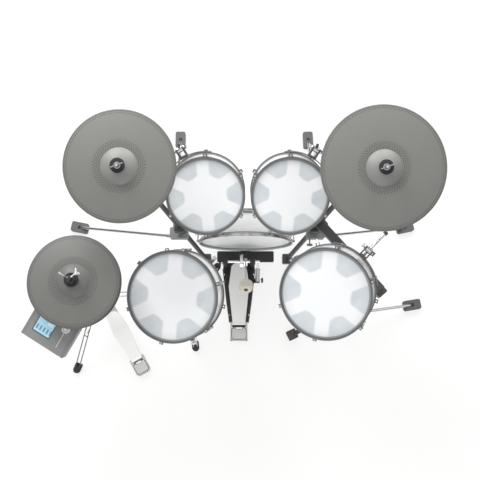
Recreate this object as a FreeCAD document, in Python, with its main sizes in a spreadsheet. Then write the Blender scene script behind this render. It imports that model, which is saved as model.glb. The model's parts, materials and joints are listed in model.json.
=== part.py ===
"""An electronic drum kit: snare, three toms, kick, hi-hat, two cymbals, pedals, stands and a sound module.

Millimetres. +Z is up, +Y points away from the player, +X is the player's right. The origin lies on the
floor at the middle of the kit.
"""
import FreeCAD
import Part
import Sketcher
import math
import os

Vector = FreeCAD.Vector
Rotation = FreeCAD.Rotation
Placement = FreeCAD.Placement
UP = Vector(0, 0, 1)

# Driving dimensions, millimetres and degrees
SIZES = {
    "middle_x": -2.5, "middle_y": 616.3,
    # drums
    "tom_diameter": 304.8, "tom_depth": 110.0,
    "snare_diameter": 355.6, "snare_depth": 115.0,
    "floor_tom_diameter": 355.6, "floor_tom_depth": 130.0,
    "kick_diameter": 406.4, "kick_depth": 100.0,
    "shell_wall": 6.0, "bearing_edge": 3.0,
    "head_gauge": 0.8, "head_collar": 9.0, "flesh_ring": 4.0, "fit_gap": 0.3,
    "hoop_gauge": 2.0, "hoop_flange": 8.0, "hoop_rise": 10.0, "hoop_lip": 3.0,
    "ear_width": 16.0, "ear_reach": 15.0, "rod_radius": 3.0, "rod_line": 13.0, "rod_head_radius": 5.0,
    "lug_width": 14.0, "lug_length": 36.0, "lug_reach": 18.0,
    "spider_gauge": 4.0, "spider_drop": 20.0, "spider_hub": 62.0, "spider_arm": 52.0, "sensor_radius": 15.0,
    # where the drums stand, by the middle of the playing head, and how they lean and turn
    "snare_facing": 225.0, "snare_lug_turn": 15.0, "tom_facing": 270.0, "tom_lug_turn": 90.0,
    "floor_tom_facing": 225.0, "floor_tom_lug_turn": 15.0, "kick_lug_turn": 0.0,
    "snare_x": -269.0, "snare_y": 334.0, "snare_z": 640.0, "snare_lean": 15.0,
    "tom_clear": 18.6, "tom_y": 739.0, "tom_z": 660.0, "tom_lift": 226.8, "tom_lean": 25.0,
    "floor_tom_x": 338.0, "floor_tom_y": 342.0, "floor_tom_z": 665.0, "floor_tom_lean": 22.0,
    "kick_x": 26.0, "kick_y": 626.0, "kick_lift": 26.8,
    # tom brackets and their arms
    "left_bracket_turn": 120.0, "right_bracket_turn": 60.0, "floor_bracket_turn": 45.0,
    "band_gauge": 3.0, "band_height": 24.0, "band_sweep": 76.0,
    "fork_reach": 42.0, "fork_gauge": 6.0, "fork_height": 30.0,
    "knuckle_radius": 13.0, "knuckle_width": 22.0, "arm_radius": 6.0, "arm_below": 50.17, "arm_stub": 60.0,
    # cymbals
    "crash_diameter": 406.4, "crash_x": -429.0, "crash_y": 757.0, "crash_z": 1060.0,
    "ride_diameter": 457.2, "ride_x": 517.0, "ride_y": 759.0, "ride_z": 1030.0, "cymbal_lean": 11.0,
    "cymbal_facing": 270.0,
    "cymbal_gauge": 5.0, "bow_rise": 20.0, "bell_radius": 66.0, "bell_rise": 24.0, "cymbal_hole": 7.0,
    "bow_round": 1100.0, "bell_round": 105.0,
    "stem_radius": 4.0, "felt_radius": 27.0, "felt_height": 9.0, "cone_height": 13.5, "sleeve_radius": 5.6,
    "nut_radius": 9.0, "nut_top": 6.3, "nut_height": 16.0, "wing_turn": 20.0, "wing_blade": 12.0,
    "wing_span": 48.0, "wing_gauge": 5.0,
    "wing_height": 20.0, "tilter_radius": 14.0,
    # hi-hat
    "hihat_diameter": 355.6, "hihat_x": -631.0, "hihat_y": 376.0, "hihat_z": 800.0, "hihat_open": 30.0,
    "hihat_rod_radius": 3.2, "hihat_rod_top": 1060.0, "hihat_tube_radius": 12.7, "hihat_upper_radius": 9.5,
    "hihat_bell_radius": 64.0, "hihat_heel_x": -444.0, "hihat_heel_y": 39.0,
    "hihat_board_width": 70.0, "hihat_leg_reach": 346.0, "hihat_leg_turn": 248.0, "hihat_leg_top": 260.0,
    "running_gap": 0.08,
    # foot boards, shared by both pedals
    "board_gauge": 9.0, "heel_length": 76.0, "heel_height": 22.0, "heel_round": 14.0, "base_gauge": 6.0,
    # kick pedal
    "pedal_x": -5.0, "pedal_heel_y": 191.0, "pedal_hinge_y": 270.0, "pedal_toe_y": 574.0,
    "pedal_board_lift": 52.0,
    "pedal_board_width": 96.0, "pedal_heel_width": 80.0,
    "pedal_post_span": 118.0, "pedal_post_width": 16.0, "pedal_post_depth": 24.0,
    "axle_y": 545.0, "axle_z": 152.0, "axle_radius": 6.0, "cam_radius": 34.0, "cam_width": 14.0,
    "beater_radius": 30.0, "beater_width": 42.0, "beater_reach": 192.0, "beater_lean": 42.0,
    "beater_rod": 4.0,
    "spring_coil": 9.0, "spring_wire": 1.5, "spring_turns": 16.0,
    # kick furniture
    "plate_width": 270.0, "plate_depth": 52.0, "plate_height": 14.0, "spur_radius": 7.0,
    # snare stand
    "snare_leg_reach": 215.0, "snare_leg_turn": 277.0, "snare_leg_top": 215.0, "basket_drop": 80.0,
    # tripod stands
    "post_radius": 11.0, "leg_radius": 7.0, "hub_width": 80.0, "hub_depth": 48.0, "hub_height": 50.0,
    "foot_length": 82.0, "foot_width": 48.0, "foot_height": 26.0, "shoe_size": 46.0, "shoe_height": 34.0,
    "crossbar_width": 38.0, "crossbar_height": 30.0, "crossbar_z": 450.0,
    # sound module
    "module_width": 192.0, "module_depth": 132.0, "module_height": 42.0, "module_x": -727.0,
    "module_y": 201.0,
    "module_z": 680.0, "module_turn": -31.8, "module_lean": 12.0, "cheek_width": 14.0, "screen_size": 78.0,
    "knob_radius": 15.0, "knob_height": 16.0,
    # tripod stands, by where their posts and feet stand
    "stand_x": 32.0, "post_foot_inset": 11.2, "post_foot_y": 577.0, "post_start": 10.0,
    "post_foot_tuck": 131.4, "post_top_spread": 117.6, "post_slant": 249.0,
    "post_top_y": 782.0, "post_top_z": 975.0, "hub_z": 330.0, "hub_shift": 25.0, "leg_split": 22.0,
    "screw_reach": 22.0, "sole": 4.0,
    "leg_end_z": 16.0, "west_foot_x": -767.0, "east_foot_x": 790.0, "side_foot_y": 730.0,
    "north_left_x": -290.0, "north_right_x": 332.0, "north_foot_y": 1164.0,
    "floor_post_x": 244.0, "floor_post_y": 219.0, "bar_end_x": 592.0, "bar_end_y": 382.0,
    "floor_hub_z": 180.0,
    "floor_leg_x": 811.0, "floor_leg_y": 358.0, "rear_leg_x": 350.0, "rear_leg_y": 760.0,
    "clamp_size": 46.0, "post_clamp_length": 64.4, "clamp_height": 36.0, "floor_stub": 90.0,
    "boom_radius": 6.5, "boom_joint": 16.0,
    "stem_drop": 30.0, "stem_rise": 40.0, "tilter_width": 14.0,
    # hi-hat stand and folding legs
    "hihat_joint_z": 420.0, "hihat_rod_low": 120.0, "hihat_travel_room": 40.0, "clutch_height": 60.0,
    "clutch_felt_height": 12.6, "clutch_key_turn": 40.0,
    "leg_collar": 20.0, "collar_height": 24.0, "hihat_strut_z": 90.0,
    "brace_radius": 4.0, "brace_spread": 18.0,
    "rubber_radius": 15.0, "rubber_height": 24.0, "strap_gauge": 4.0, "strap_depth": 10.0,
    "strut_depth": 7.0, "snare_east_turn": 54.0, "snare_west_turn": 150.0, "snare_strut_z": 80.0,
    "snare_tube_low": 40.0, "snare_tube_radius": 10.0, "basket_cheek": 40.0,
    "basket_hub": 26.4, "basket_turn": 45.0, "grip_height": 34.0,
    # pedal fittings
    "barrel_radius": 8.0, "hinge_lug": 9.0, "hinge_z": 24.0,
    "pedal_toe_width": 70.0, "band_width": 11.0, "cam_offset": 12.0,
    "spring_back": 70.0, "anchor_size": 22.0, "anchor_height": 24.0, "rocker_reach": 34.0,
    "hihat_toe_gap": 44.0, "hihat_toe_width": 56.0, "hihat_board_lift": 60.0,
    "spur_drop": 30.0, "spur_spread": 70.0, "spur_forward": 40.0,
    # module face
    "knob_x": 53.0, "knob_y": 41.0, "jack_radius": 3.2, "jack_depth": 12.0, "jack_pitch": 24.0,
    "screen_x": -26.0, "screen_y": 8.0, "screen_gauge": 1.5,
}


class Size(float):
    """A number that remembers the sheet expression it comes from."""

    def __new__(cls, value, text):
        size = super().__new__(cls, value)
        size.text = text
        return size

    def __add__(self, other):
        return Size(float(self) + float(other), "(%s + %s)" % (self.text, text_of(other)))

    __radd__ = __add__

    def __sub__(self, other):
        return Size(float(self) - float(other), "(%s - %s)" % (self.text, text_of(other)))

    def __rsub__(self, other):
        return Size(float(other) - float(self), "(%s - %s)" % (text_of(other), self.text))

    def __mul__(self, other):
        return Size(float(self) * float(other), "(%s * %s)" % (self.text, text_of(other)))

    __rmul__ = __mul__

    def __truediv__(self, other):
        return Size(float(self) / float(other), "(%s / %s)" % (self.text, text_of(other)))

    def __neg__(self):
        return Size(-float(self), "(0 - %s)" % self.text)


def text_of(number):
    """The sheet expression of a size, or a plain number as text."""
    return number.text if isinstance(number, Size) else "%.9g" % number


doc = FreeCAD.newDocument("drum_kit")
sheet = doc.addObject("Spreadsheet::Sheet", "dims")
for row, (alias, number) in enumerate(SIZES.items(), 1):
    sheet.set("A%d" % row, alias)
    sheet.set("B%d" % row, "%.9g" % number)
    sheet.setAlias("B%d" % row, alias)
doc.recompute()


class Dimensions:
    """The sheet's cells by name."""


d = Dimensions()
for alias, number in SIZES.items():
    setattr(d, alias, Size(number, "dims." + alias))

nodes = []
counter = {}


def fresh(name):
    """A document name that no object has yet."""
    counter[name] = counter.get(name, 0) + 1
    return "%s_%d" % (name, counter[name])


def bind(item, prop, number):
    """Set a property, and tie it to the sheet where the number comes from there."""
    setattr(item, prop, float(number))
    if isinstance(number, Size):
        item.setExpression(prop, number.text)


def spot(x, y, z):
    """A point of the kit, measured from the floor under the camera's foot."""
    return Vector(x - d.middle_x, y - d.middle_y, z)


def towards(start, end):
    """A placement at start whose own Z points at end."""
    return Placement(start, Rotation(UP, end - start))


def tilted(where, azimuth, lean):
    """A placement whose Z leans from upright by some degrees, towards an azimuth."""
    side = Vector(-math.sin(math.radians(azimuth)), math.cos(math.radians(azimuth)), 0)
    return Placement(where, Rotation(side, lean))


def polar(radius, angle, z=0.0):
    return Vector(radius * math.cos(math.radians(angle)), radius * math.sin(math.radians(angle)), z)


def cylinder(name, radius, height, place=Placement()):
    item = doc.addObject("Part::Cylinder", fresh(name))
    bind(item, "Radius", radius)
    bind(item, "Height", height)
    item.Placement = place
    return item


def cone(name, low, high, height, place=Placement()):
    item = doc.addObject("Part::Cone", fresh(name))
    bind(item, "Radius1", low)
    bind(item, "Radius2", high)
    bind(item, "Height", height)
    item.Placement = place
    return item


def sphere(name, radius, where):
    item = doc.addObject("Part::Sphere", fresh(name))
    bind(item, "Radius", radius)
    item.Placement = Placement(where, Rotation())
    return item


def box(name, length, width, height, place=Placement(), middle=True):
    """A box standing on its placement, with its middle there in X and Y."""
    item = doc.addObject("Part::Box", fresh(name))
    bind(item, "Length", length)
    bind(item, "Width", width)
    bind(item, "Height", height)
    shift = Vector(-length / 2, -width / 2, 0) if middle else Vector()
    item.Placement = place.multiply(Placement(shift, Rotation()))
    return item


def rounded_box(name, length, width, height, radius, place=Placement()):
    """A box with its four upright edges rounded."""
    item = box(name, length, width, height)
    doc.recompute()
    fillet = doc.addObject("Part::Fillet", fresh(name))
    fillet.Base = item
    upright = []
    for index, edge in enumerate(item.Shape.Edges, 1):
        low, high = edge.Vertexes[0].Point, edge.Vertexes[-1].Point
        if abs(low.x - high.x) + abs(low.y - high.y) < 1e-6:
            upright.append((index, float(radius), float(radius)))
    fillet.Edges = upright
    fillet.Placement = place
    return fillet


def rod(name, start, end, radius):
    """A round bar between two points."""
    return cylinder(name, radius, (end - start).Length, towards(start, end))


def bent_rod(name, points, radius):
    """A round bar through several points, with ball corners."""
    bars = [rod(name, points[i], points[i + 1], radius) for i in range(len(points) - 1)]
    balls = [sphere(name, radius, point) for point in points[1:-1]]
    return fuse(name, bars + balls)


def fuse(name, items):
    item = doc.addObject("Part::MultiFuse", fresh(name))
    item.Shapes = items
    return item


def cut(name, base, tools):
    """The base less one tool or several."""
    tool = fuse(name + "_tool", tools) if isinstance(tools, list) else tools
    item = doc.addObject("Part::Cut", fresh(name))
    item.Base = base
    item.Tool = tool
    return item


def group(name, items):
    """Several separate solids kept together."""
    item = doc.addObject("Part::Compound", fresh(name))
    item.Links = items
    return item


def node(name, item, place=Placement()):
    """Name a finished piece and put it in its place."""
    item.Label = name
    item.Placement = place.multiply(item.Placement)
    nodes.append(item)
    return item


def arc_middle(start, end, radius):
    """The middle of an arc from start to end; a positive radius bulges to the right of the way."""
    chord = end - start
    half = chord.Length / 2
    sagitta = abs(radius) - math.sqrt(radius * radius - half * half)
    side = Vector(chord.y, -chord.x, 0).normalize()
    return (start + end) * 0.5 + side * math.copysign(sagitta, radius)


def profile(sketch, corners):
    """A closed outline: corners are (x, y), or (x, y, radius) where an arc leads to the next corner."""
    points = [Vector(corner[0], corner[1], 0) for corner in corners]
    count = len(points)
    for i, corner in enumerate(corners):
        start, end = points[i], points[(i + 1) % count]
        if len(corner) == 3:
            middle = arc_middle(start, end, corner[2])
            anticlockwise = (middle - start).cross(end - middle).z > 0
            ends = (start, end) if anticlockwise else (end, start)
            sketch.addGeometry(Part.Arc(ends[0], middle, ends[1]), False)
        else:
            sketch.addGeometry(Part.LineSegment(start, end), False)
    first = [1] * count
    for i in range(count):
        tip = sketch.Geometry[i].StartPoint
        first[i] = 1 if (tip - points[i]).Length < 1e-6 else 2
    for i in range(count):
        after = (i + 1) % count
        sketch.addConstraint(Sketcher.Constraint("Coincident", i, 3 - first[i], after, first[after]))
    for i, corner in enumerate(corners):
        for kind, axis, number in (("DistanceX", -2, corner[0]), ("DistanceY", -1, corner[1])):
            if abs(number) < 1e-9:
                sketch.addConstraint(Sketcher.Constraint("PointOnObject", i, first[i], axis))
                continue
            index = sketch.addConstraint(Sketcher.Constraint(kind, -1, 1, i, first[i], float(number)))
            if isinstance(number, Size):
                sketch.setExpression("Constraints[%d]" % index, number.text)
        if len(corner) == 3:
            index = sketch.addConstraint(Sketcher.Constraint("Radius", i, abs(float(corner[2]))))
            if isinstance(corner[2], Size):
                size = corner[2] if corner[2] > 0 else -corner[2]
                sketch.setExpression("Constraints[%d]" % index, size.text)


def sketch_on(body, role):
    sketch = body.newObject("Sketcher::SketchObject", fresh("sketch"))
    plane = [part for part in body.Origin.OriginFeatures if part.Role == role][0]
    sketch.AttachmentSupport = (plane, "")
    sketch.MapMode = "FlatFace"
    return sketch


def revolve(name, corners, sweep=360.0):
    """A body turned about Z from an outline of (radius, height) corners."""
    body = doc.addObject("PartDesign::Body", fresh(name))
    sketch = sketch_on(body, "XZ_Plane")
    profile(sketch, corners)
    turn = body.newObject("PartDesign::Revolution", fresh("turn"))
    turn.Profile = sketch
    turn.ReferenceAxis = (sketch, ["V_Axis"])
    bind(turn, "Angle", sweep)
    turn.Midplane = sweep < 360.0
    sketch.Visibility = False
    return body


def spun(name, corners):
    """A solid turned about Z from an outline with arcs."""
    sketch = doc.addObject("Sketcher::SketchObject", fresh("outline"))
    sketch.Placement = Placement(Vector(), Rotation(Vector(1, 0, 0), 90))
    profile(sketch, corners)
    item = doc.addObject("Part::Revolution", fresh(name))
    item.Source = sketch
    item.Axis = UP
    item.Angle = 360.0
    item.Solid = True
    return item


def pad(name, corners, height, role="XY_Plane", midplane=False):
    """A body raised from an outline on one of its own planes."""
    body = doc.addObject("PartDesign::Body", fresh(name))
    sketch = sketch_on(body, role)
    profile(sketch, corners)
    raised = body.newObject("PartDesign::Pad", fresh("raised"))
    raised.Profile = sketch
    bind(raised, "Length", height)
    raised.Midplane = midplane
    sketch.Visibility = False
    return body


# Drums

LUG_COUNT = 6


def hoop(name, radius, turn, flip, depth):
    """A triple-flanged hoop with a drilled ear at each tension rod, at the top or, flipped, the bottom."""
    seat = d.fit_gap - d.flesh_ring
    inner = radius + d.head_gauge * 2 + d.fit_gap * 2
    wall = inner + d.hoop_gauge
    rim = radius + d.hoop_flange
    ring = revolve(name, [
        (inner, seat), (rim, seat), (rim, seat + d.hoop_gauge), (wall, seat + d.hoop_gauge),
        (wall, d.hoop_rise - d.hoop_gauge), (rim - d.hoop_gauge, d.hoop_rise - d.hoop_gauge),
        (rim - d.hoop_gauge, d.hoop_rise - d.hoop_lip - d.hoop_gauge),
        (rim, d.hoop_rise - d.hoop_lip - d.hoop_gauge), (rim, d.hoop_rise), (inner, d.hoop_rise)])
    ears, holes = [], []
    for i in range(LUG_COUNT):
        angle = turn + i * 360.0 / LUG_COUNT
        facing = Rotation(UP, angle)
        ears.append(box("ear", d.ear_reach, d.ear_width, d.hoop_gauge,
                        Placement(polar(radius + d.rod_line - 1.0, angle, seat), facing)))
        holes.append(cylinder("ear_hole", d.rod_radius + d.fit_gap, d.hoop_gauge * 3,
                              Placement(polar(radius + d.rod_line, angle, seat - d.hoop_gauge), facing)))
    item = cut(name, fuse(name, [ring] + ears), holes)
    if flip:
        item.Placement = Placement(Vector(0, 0, -depth), Rotation(Vector(1, 0, 0), 180))
    return item


def skin(name, radius, flip, depth):
    """A head: the stretched skin, its collar and the ring that the hoop presses on."""
    low = d.fit_gap
    high = low + d.head_gauge
    inner = radius + d.fit_gap
    item = revolve(name, [
        (0.0, low), (inner, low), (inner, -d.head_collar), (inner + d.flesh_ring, -d.head_collar),
        (inner + d.flesh_ring, -d.flesh_ring), (inner + d.head_gauge, -d.flesh_ring),
        (inner + d.head_gauge, high), (0.0, high)])
    if flip:
        item.Placement = Placement(Vector(0, 0, -depth), Rotation(Vector(1, 0, 0), 180))
    return item


def drum(name, diameter, depth, place, turn):
    """A drum in its own frame, with the playing head's bearing edge at Z 0, as five pieces."""
    radius = diameter / 2
    bore = radius - d.shell_wall
    node(name + "_shell", revolve(name + "_shell", [
        (bore, -depth + d.bearing_edge), (radius - d.bearing_edge, -depth), (radius, -depth + d.bearing_edge),
        (radius, -d.bearing_edge), (radius - d.bearing_edge, 0.0), (bore, -d.bearing_edge)]), place)
    node(name + "_hoops", group("hoops", [hoop("hoop", radius, turn, False, depth),
                                          hoop("hoop", radius, turn, True, depth)]), place)
    node(name + "_heads", group("heads", [skin("head", radius, False, depth),
                                          skin("head", radius, True, depth)]), place)
    lugs = []
    for i in range(LUG_COUNT):
        facing = Rotation(UP, turn + i * 360.0 / LUG_COUNT)
        line = Placement(facing.multVec(Vector(radius + d.rod_line, 0, 0)), facing)
        seat = Vector(radius + d.fit_gap + d.lug_reach / 2, 0, -depth / 2 - d.lug_length / 2)
        casting = rounded_box("lug", d.lug_reach - d.fit_gap, d.lug_width, d.lug_length, d.lug_width / 4,
                              Placement(facing.multVec(seat), facing))
        reach = depth + (d.fit_gap - d.flesh_ring + d.hoop_gauge + d.fit_gap) * 2
        shank = cylinder("tension_rod", d.rod_radius, reach, line.multiply(
            Placement(Vector(0, 0, -depth / 2 - reach / 2), Rotation())))
        heads = [cylinder("rod_head", d.rod_head_radius, d.hoop_gauge * 2, line.multiply(
            Placement(Vector(0, 0, -depth / 2 + side * reach / 2 - (d.hoop_gauge * 2 if side < 0 else 0)),
                      Rotation()))) for side in (1, -1)]
        lugs.append(fuse("lug", [casting, shank] + heads))
    node(name + "_lugs", group("lugs", lugs), place)
    floor = -d.spider_drop - d.spider_gauge
    arms = [box("spider_arm", (bore - d.fit_gap) * 2, d.spider_arm, d.spider_gauge,
                Placement(Vector(0, 0, floor), Rotation(UP, turn + i * 60.0))) for i in range(3)]
    disc = cylinder("spider_hub", d.spider_hub, d.spider_gauge, Placement(Vector(0, 0, floor), Rotation()))
    sleeve = cylinder("spider_trim", bore - d.fit_gap, d.spider_gauge * 3,
                      Placement(Vector(0, 0, floor - d.spider_gauge), Rotation()))
    plate = doc.addObject("Part::MultiCommon", fresh("spider"))
    plate.Shapes = [fuse("spider", arms + [disc]), sleeve]
    sensor = cone("sensor", d.sensor_radius, d.sensor_radius / 3, d.spider_drop,
                  Placement(Vector(0, 0, -d.spider_drop), Rotation()))
    node(name + "_trigger", group("trigger", [plate, sensor]), place)


def bracket(name, diameter, depth, place, angle):
    """A tom's band bracket: a curved band on the shell, with a fork for the arm's knuckle."""
    radius = diameter / 2
    inner = radius + d.lug_reach + d.fit_gap * 2
    level = -depth / 2
    band = revolve("band", [
        (inner, level - d.band_height / 2), (inner + d.band_gauge, level - d.band_height / 2),
        (inner + d.band_gauge, level + d.band_height / 2), (inner, level + d.band_height / 2)], d.band_sweep)
    band.Placement = Placement(Vector(), Rotation(UP, angle))
    facing = Rotation(UP, angle)
    face = inner + d.band_gauge
    parts = [band]
    half = d.knuckle_width / 2 + d.fit_gap + d.fork_gauge / 2
    for side in (-1, 1):
        cheek = box("cheek", d.fork_reach + d.band_gauge, d.fork_gauge, d.fork_height, Placement(
            facing.multVec(Vector(face + d.fork_reach / 2 - d.band_gauge / 2, side * half,
                                  level - d.fork_height / 2)), facing))
        parts.append(cheek)
    yoke_width = d.knuckle_width + (d.fit_gap + d.fork_gauge) * 2
    parts.append(box("yoke", d.band_gauge * 3, yoke_width, d.fork_height, Placement(
        facing.multVec(Vector(face, 0, level - d.fork_height / 2)), facing)))
    pivot = knuckle_point(diameter, depth, angle)
    across = facing.multVec(Vector(0, 1, 0))
    reach = d.knuckle_width / 2 + d.fit_gap + d.fork_gauge
    bolt = cylinder("bolt", d.rod_radius, reach * 2 + d.fork_gauge,
                    towards(pivot - across * (reach + d.fork_gauge), pivot + across))
    key = box("bolt_key", d.wing_span / 2, d.wing_gauge, d.wing_gauge * 2, Placement(
        pivot - across * (reach + d.fork_gauge + d.wing_gauge), Rotation(UP, across)))
    node(name + "_bracket", fuse(name + "_bracket", parts + [bolt, key]), place)
    return place.multVec(pivot), place.Rotation.multVec(across)


def knuckle_point(diameter, depth, angle):
    """Where a tom's tilt axis crosses its arm, in the drum's own frame."""
    reach = diameter / 2 + d.lug_reach + d.fit_gap * 2 + d.band_gauge + d.fork_reach - d.knuckle_radius / 2
    return polar(reach, angle, -depth / 2)


def knuckle(pivot, across):
    """The drilled barrel at an arm's end that a tom bracket's fork turns on."""
    half = across * (d.knuckle_width / 2)
    barrel = cylinder("knuckle", d.knuckle_radius, d.knuckle_width, towards(pivot - half, pivot + half))
    bore = cylinder("knuckle_bore", d.rod_radius + d.running_gap, d.knuckle_width * 2,
                    towards(pivot - half * 2, pivot + half * 2))
    return barrel, bore


snare_place = tilted(spot(d.snare_x, d.snare_y, d.snare_z), d.snare_facing, d.snare_lean)
kick_z = d.kick_diameter / 2 + d.kick_lift
tom_z = max(d.tom_z, kick_z + d.kick_diameter / 2 + d.tom_lift)
tom_out = d.tom_diameter / 2 + d.tom_clear
toms_edge = tom_out + d.tom_diameter / 2
left_tom_place = tilted(spot(d.stand_x - tom_out, d.tom_y, tom_z), d.tom_facing, d.tom_lean)
right_tom_place = tilted(spot(d.stand_x + tom_out, d.tom_y, tom_z), d.tom_facing, d.tom_lean)
floor_tom_place = tilted(spot(d.floor_tom_x, d.floor_tom_y, d.floor_tom_z), d.floor_tom_facing,
                         d.floor_tom_lean)
kick_place = Placement(spot(d.kick_x, d.kick_y, kick_z), Rotation(Vector(1, 0, 0), 90))

drum("snare", d.snare_diameter, d.snare_depth, snare_place, d.snare_lug_turn)
drum("left_tom", d.tom_diameter, d.tom_depth, left_tom_place, d.tom_lug_turn)
drum("right_tom", d.tom_diameter, d.tom_depth, right_tom_place, d.tom_lug_turn)
drum("floor_tom", d.floor_tom_diameter, d.floor_tom_depth, floor_tom_place, d.floor_tom_lug_turn)
drum("kick", d.kick_diameter, d.kick_depth, kick_place, d.kick_lug_turn)

# Tripod stands: an inclined post on a shoe, with a hub that spreads two legs


def side_post(side):
    """The foot and the top of a side post, as far out as the kick and the toms need."""
    foot_out = max(d.kick_diameter / 2 - d.post_foot_inset, toms_edge - d.post_foot_tuck)
    top_out = max(foot_out + d.post_slant, toms_edge + d.post_top_spread)
    foot = spot(d.stand_x + side * foot_out, d.post_foot_y, d.post_start)
    top = spot(d.stand_x + side * top_out, d.post_top_y, d.post_top_z)
    return foot, top


def on_line(foot, top, z):
    """The point of a sloping line at some height."""
    share = (z - foot.z) / (top.z - foot.z)
    return foot + (top - foot) * share


def sleeve_of(foot, top):
    """The room that a clamp leaves for a post."""
    return rod("post_room", foot, top, d.post_radius + d.fit_gap)


def shoe(foot, top, turn):
    """The block that a post stands in."""
    block = rounded_box("shoe", d.shoe_size, d.shoe_size, d.shoe_height, d.shoe_size / 8,
                        Placement(Vector(foot.x, foot.y, 0), Rotation(UP, turn)))
    return cut("shoe", block, sleeve_of(foot, top))


def leg_foot(end, start):
    """A wide foot with a slot that the leg's end lies in."""
    heading = math.degrees(math.atan2(end.y - start.y, end.x - start.x))
    place = Placement(Vector(end.x, end.y, 0), Rotation(UP, heading))
    block = rounded_box("foot", d.foot_length, d.foot_width, d.foot_height, d.foot_width / 5, place)
    slot_width = (d.leg_radius + d.fit_gap) * 2
    slot = box("foot_slot", d.foot_length, slot_width, d.foot_height,
               place.multiply(Placement(Vector(-d.foot_length / 2 + d.leg_radius, 0, d.sole), Rotation())))
    return cut("foot", block, slot)


def tripod(foot, top, hub_z, out, starts, ends):
    """A post's hub with two legs and their feet."""
    middle = on_line(foot, top, hub_z)
    turn = Rotation(UP, math.degrees(math.atan2(out.y, out.x)))
    centre = Vector(middle.x, middle.y, hub_z) + out * d.hub_shift
    block = rounded_box("hub", d.hub_width, d.hub_depth, d.hub_height, d.hub_depth / 6,
                        Placement(centre - UP * (d.hub_height / 2), turn))
    pieces, room = [], [sleeve_of(foot, top)]
    for offset, end in zip(starts, ends):
        start = centre + turn.multVec(offset)
        room.append(rod("leg_room", start, end, d.leg_radius + d.fit_gap))
        pieces += [rod("leg", start, end, d.leg_radius), leg_foot(end, start)]
    screw_at = centre + turn.multVec(Vector(-d.hub_shift, 0, d.hub_height / 2))
    side = turn.multVec(Vector(0, -1, 0))
    base = screw_at + side * (d.hub_depth / 2) - UP * (d.hub_height / 2)
    screw = fuse("wing_screw", [
        cylinder("screw", d.rod_radius, d.screw_reach, towards(base, base + side)),
        box("screw_key", d.wing_span / 2, d.wing_gauge, d.wing_gauge * 2,
            towards(base + side * d.screw_reach, base + side * (d.screw_reach * 2)))])
    return [cut("hub", block, room), screw] + pieces


def boom(top, pivot):
    """A cymbal arm: a rod from the post to a toothed disc that carries the tilter's bolt."""
    side = 1.0 if top.x > pivot.x else -1.0
    across = Vector(side, 0, 0)
    near = pivot + across * (d.tilter_width / 2 + d.fit_gap)
    far = near + across * d.tilter_width
    disc = cylinder("tilter_disc", d.tilter_radius, d.tilter_width, towards(near, far))
    bolt = cylinder("tilter_bolt", d.rod_radius, d.tilter_width * 2 + d.rod_head_radius,
                    towards(near - across * (d.tilter_width + d.rod_head_radius + d.fit_gap), near + across))
    return [disc, bolt, rod("boom", top, (near + far) * 0.5, d.boom_radius),
            sphere("boom_end", d.boom_joint, top)]


def cymbal_place(x, y, z):
    return tilted(spot(x, y, z), d.cymbal_facing, d.cymbal_lean)


crash_place = cymbal_place(d.crash_x, d.crash_y, d.crash_z)
ride_place = cymbal_place(d.ride_x, d.ride_y, d.ride_z)
crash_pivot = crash_place.multVec(Vector(0, 0, -d.stem_drop))
ride_pivot = ride_place.multVec(Vector(0, 0, -d.stem_drop))

posts, legs = [], []
for side, pivot, side_x, north_x in ((-1, crash_pivot, d.west_foot_x, d.north_left_x),
                                    (1, ride_pivot, d.east_foot_x, d.north_right_x)):
    feet = (spot(side_x, d.side_foot_y, d.leg_end_z), spot(north_x, d.north_foot_y, d.leg_end_z))
    foot, top = side_post(side)
    posts.append(fuse("post", [rod("post", foot, top, d.post_radius)] + boom(top, pivot)))
    posts.append(shoe(foot, top, 0.0))
    legs += tripod(foot, top, d.hub_z, Vector(side, 0, 0),
                   (Vector(d.leg_split, side * -d.leg_split / 2, -d.leg_split / 2),
                    Vector(d.leg_split, side * d.leg_split / 2, d.leg_split / 2)), feet)

floor_foot = spot(d.floor_post_x, d.floor_post_y, d.post_start)
bar_end = spot(d.bar_end_x, d.bar_end_y, d.crossbar_z - d.crossbar_height / 2 - d.fit_gap - d.post_radius)
posts.append(rod("post", floor_foot, bar_end, d.post_radius))
away = Vector(bar_end.x - floor_foot.x, bar_end.y - floor_foot.y, 0).normalize()
away_turn = math.degrees(math.atan2(away.y, away.x))
posts.append(shoe(floor_foot, bar_end, away_turn))
legs += tripod(floor_foot, bar_end, d.floor_hub_z, away,
               (Vector(d.leg_split, -d.leg_split / 2, -d.leg_split / 2),
                Vector(d.leg_split / 2, d.leg_split / 2, d.leg_split / 2)),
               (spot(d.floor_leg_x, d.floor_leg_y, d.leg_end_z),
                spot(d.rear_leg_x, d.rear_leg_y, d.leg_end_z)))
node("stand_posts", group("stand_posts", posts))
node("stand_legs", group("stand_legs", legs))

# Tom brackets and the arms that carry them

pivots = {}
for name, place, diameter, depth, angle in (
        ("left_tom", left_tom_place, d.tom_diameter, d.tom_depth, d.left_bracket_turn),
        ("right_tom", right_tom_place, d.tom_diameter, d.tom_depth, d.right_bracket_turn),
        ("floor_tom", floor_tom_place, d.floor_tom_diameter, d.floor_tom_depth, d.floor_bracket_turn)):
    pivots[name] = bracket(name, diameter, depth, place, angle)


def clamp_block(where, turn, length):
    return rounded_box("clamp", length, d.clamp_size, d.clamp_height, d.clamp_size / 8,
                       Placement(where - UP * (d.clamp_height / 2), Rotation(UP, turn)))


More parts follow.
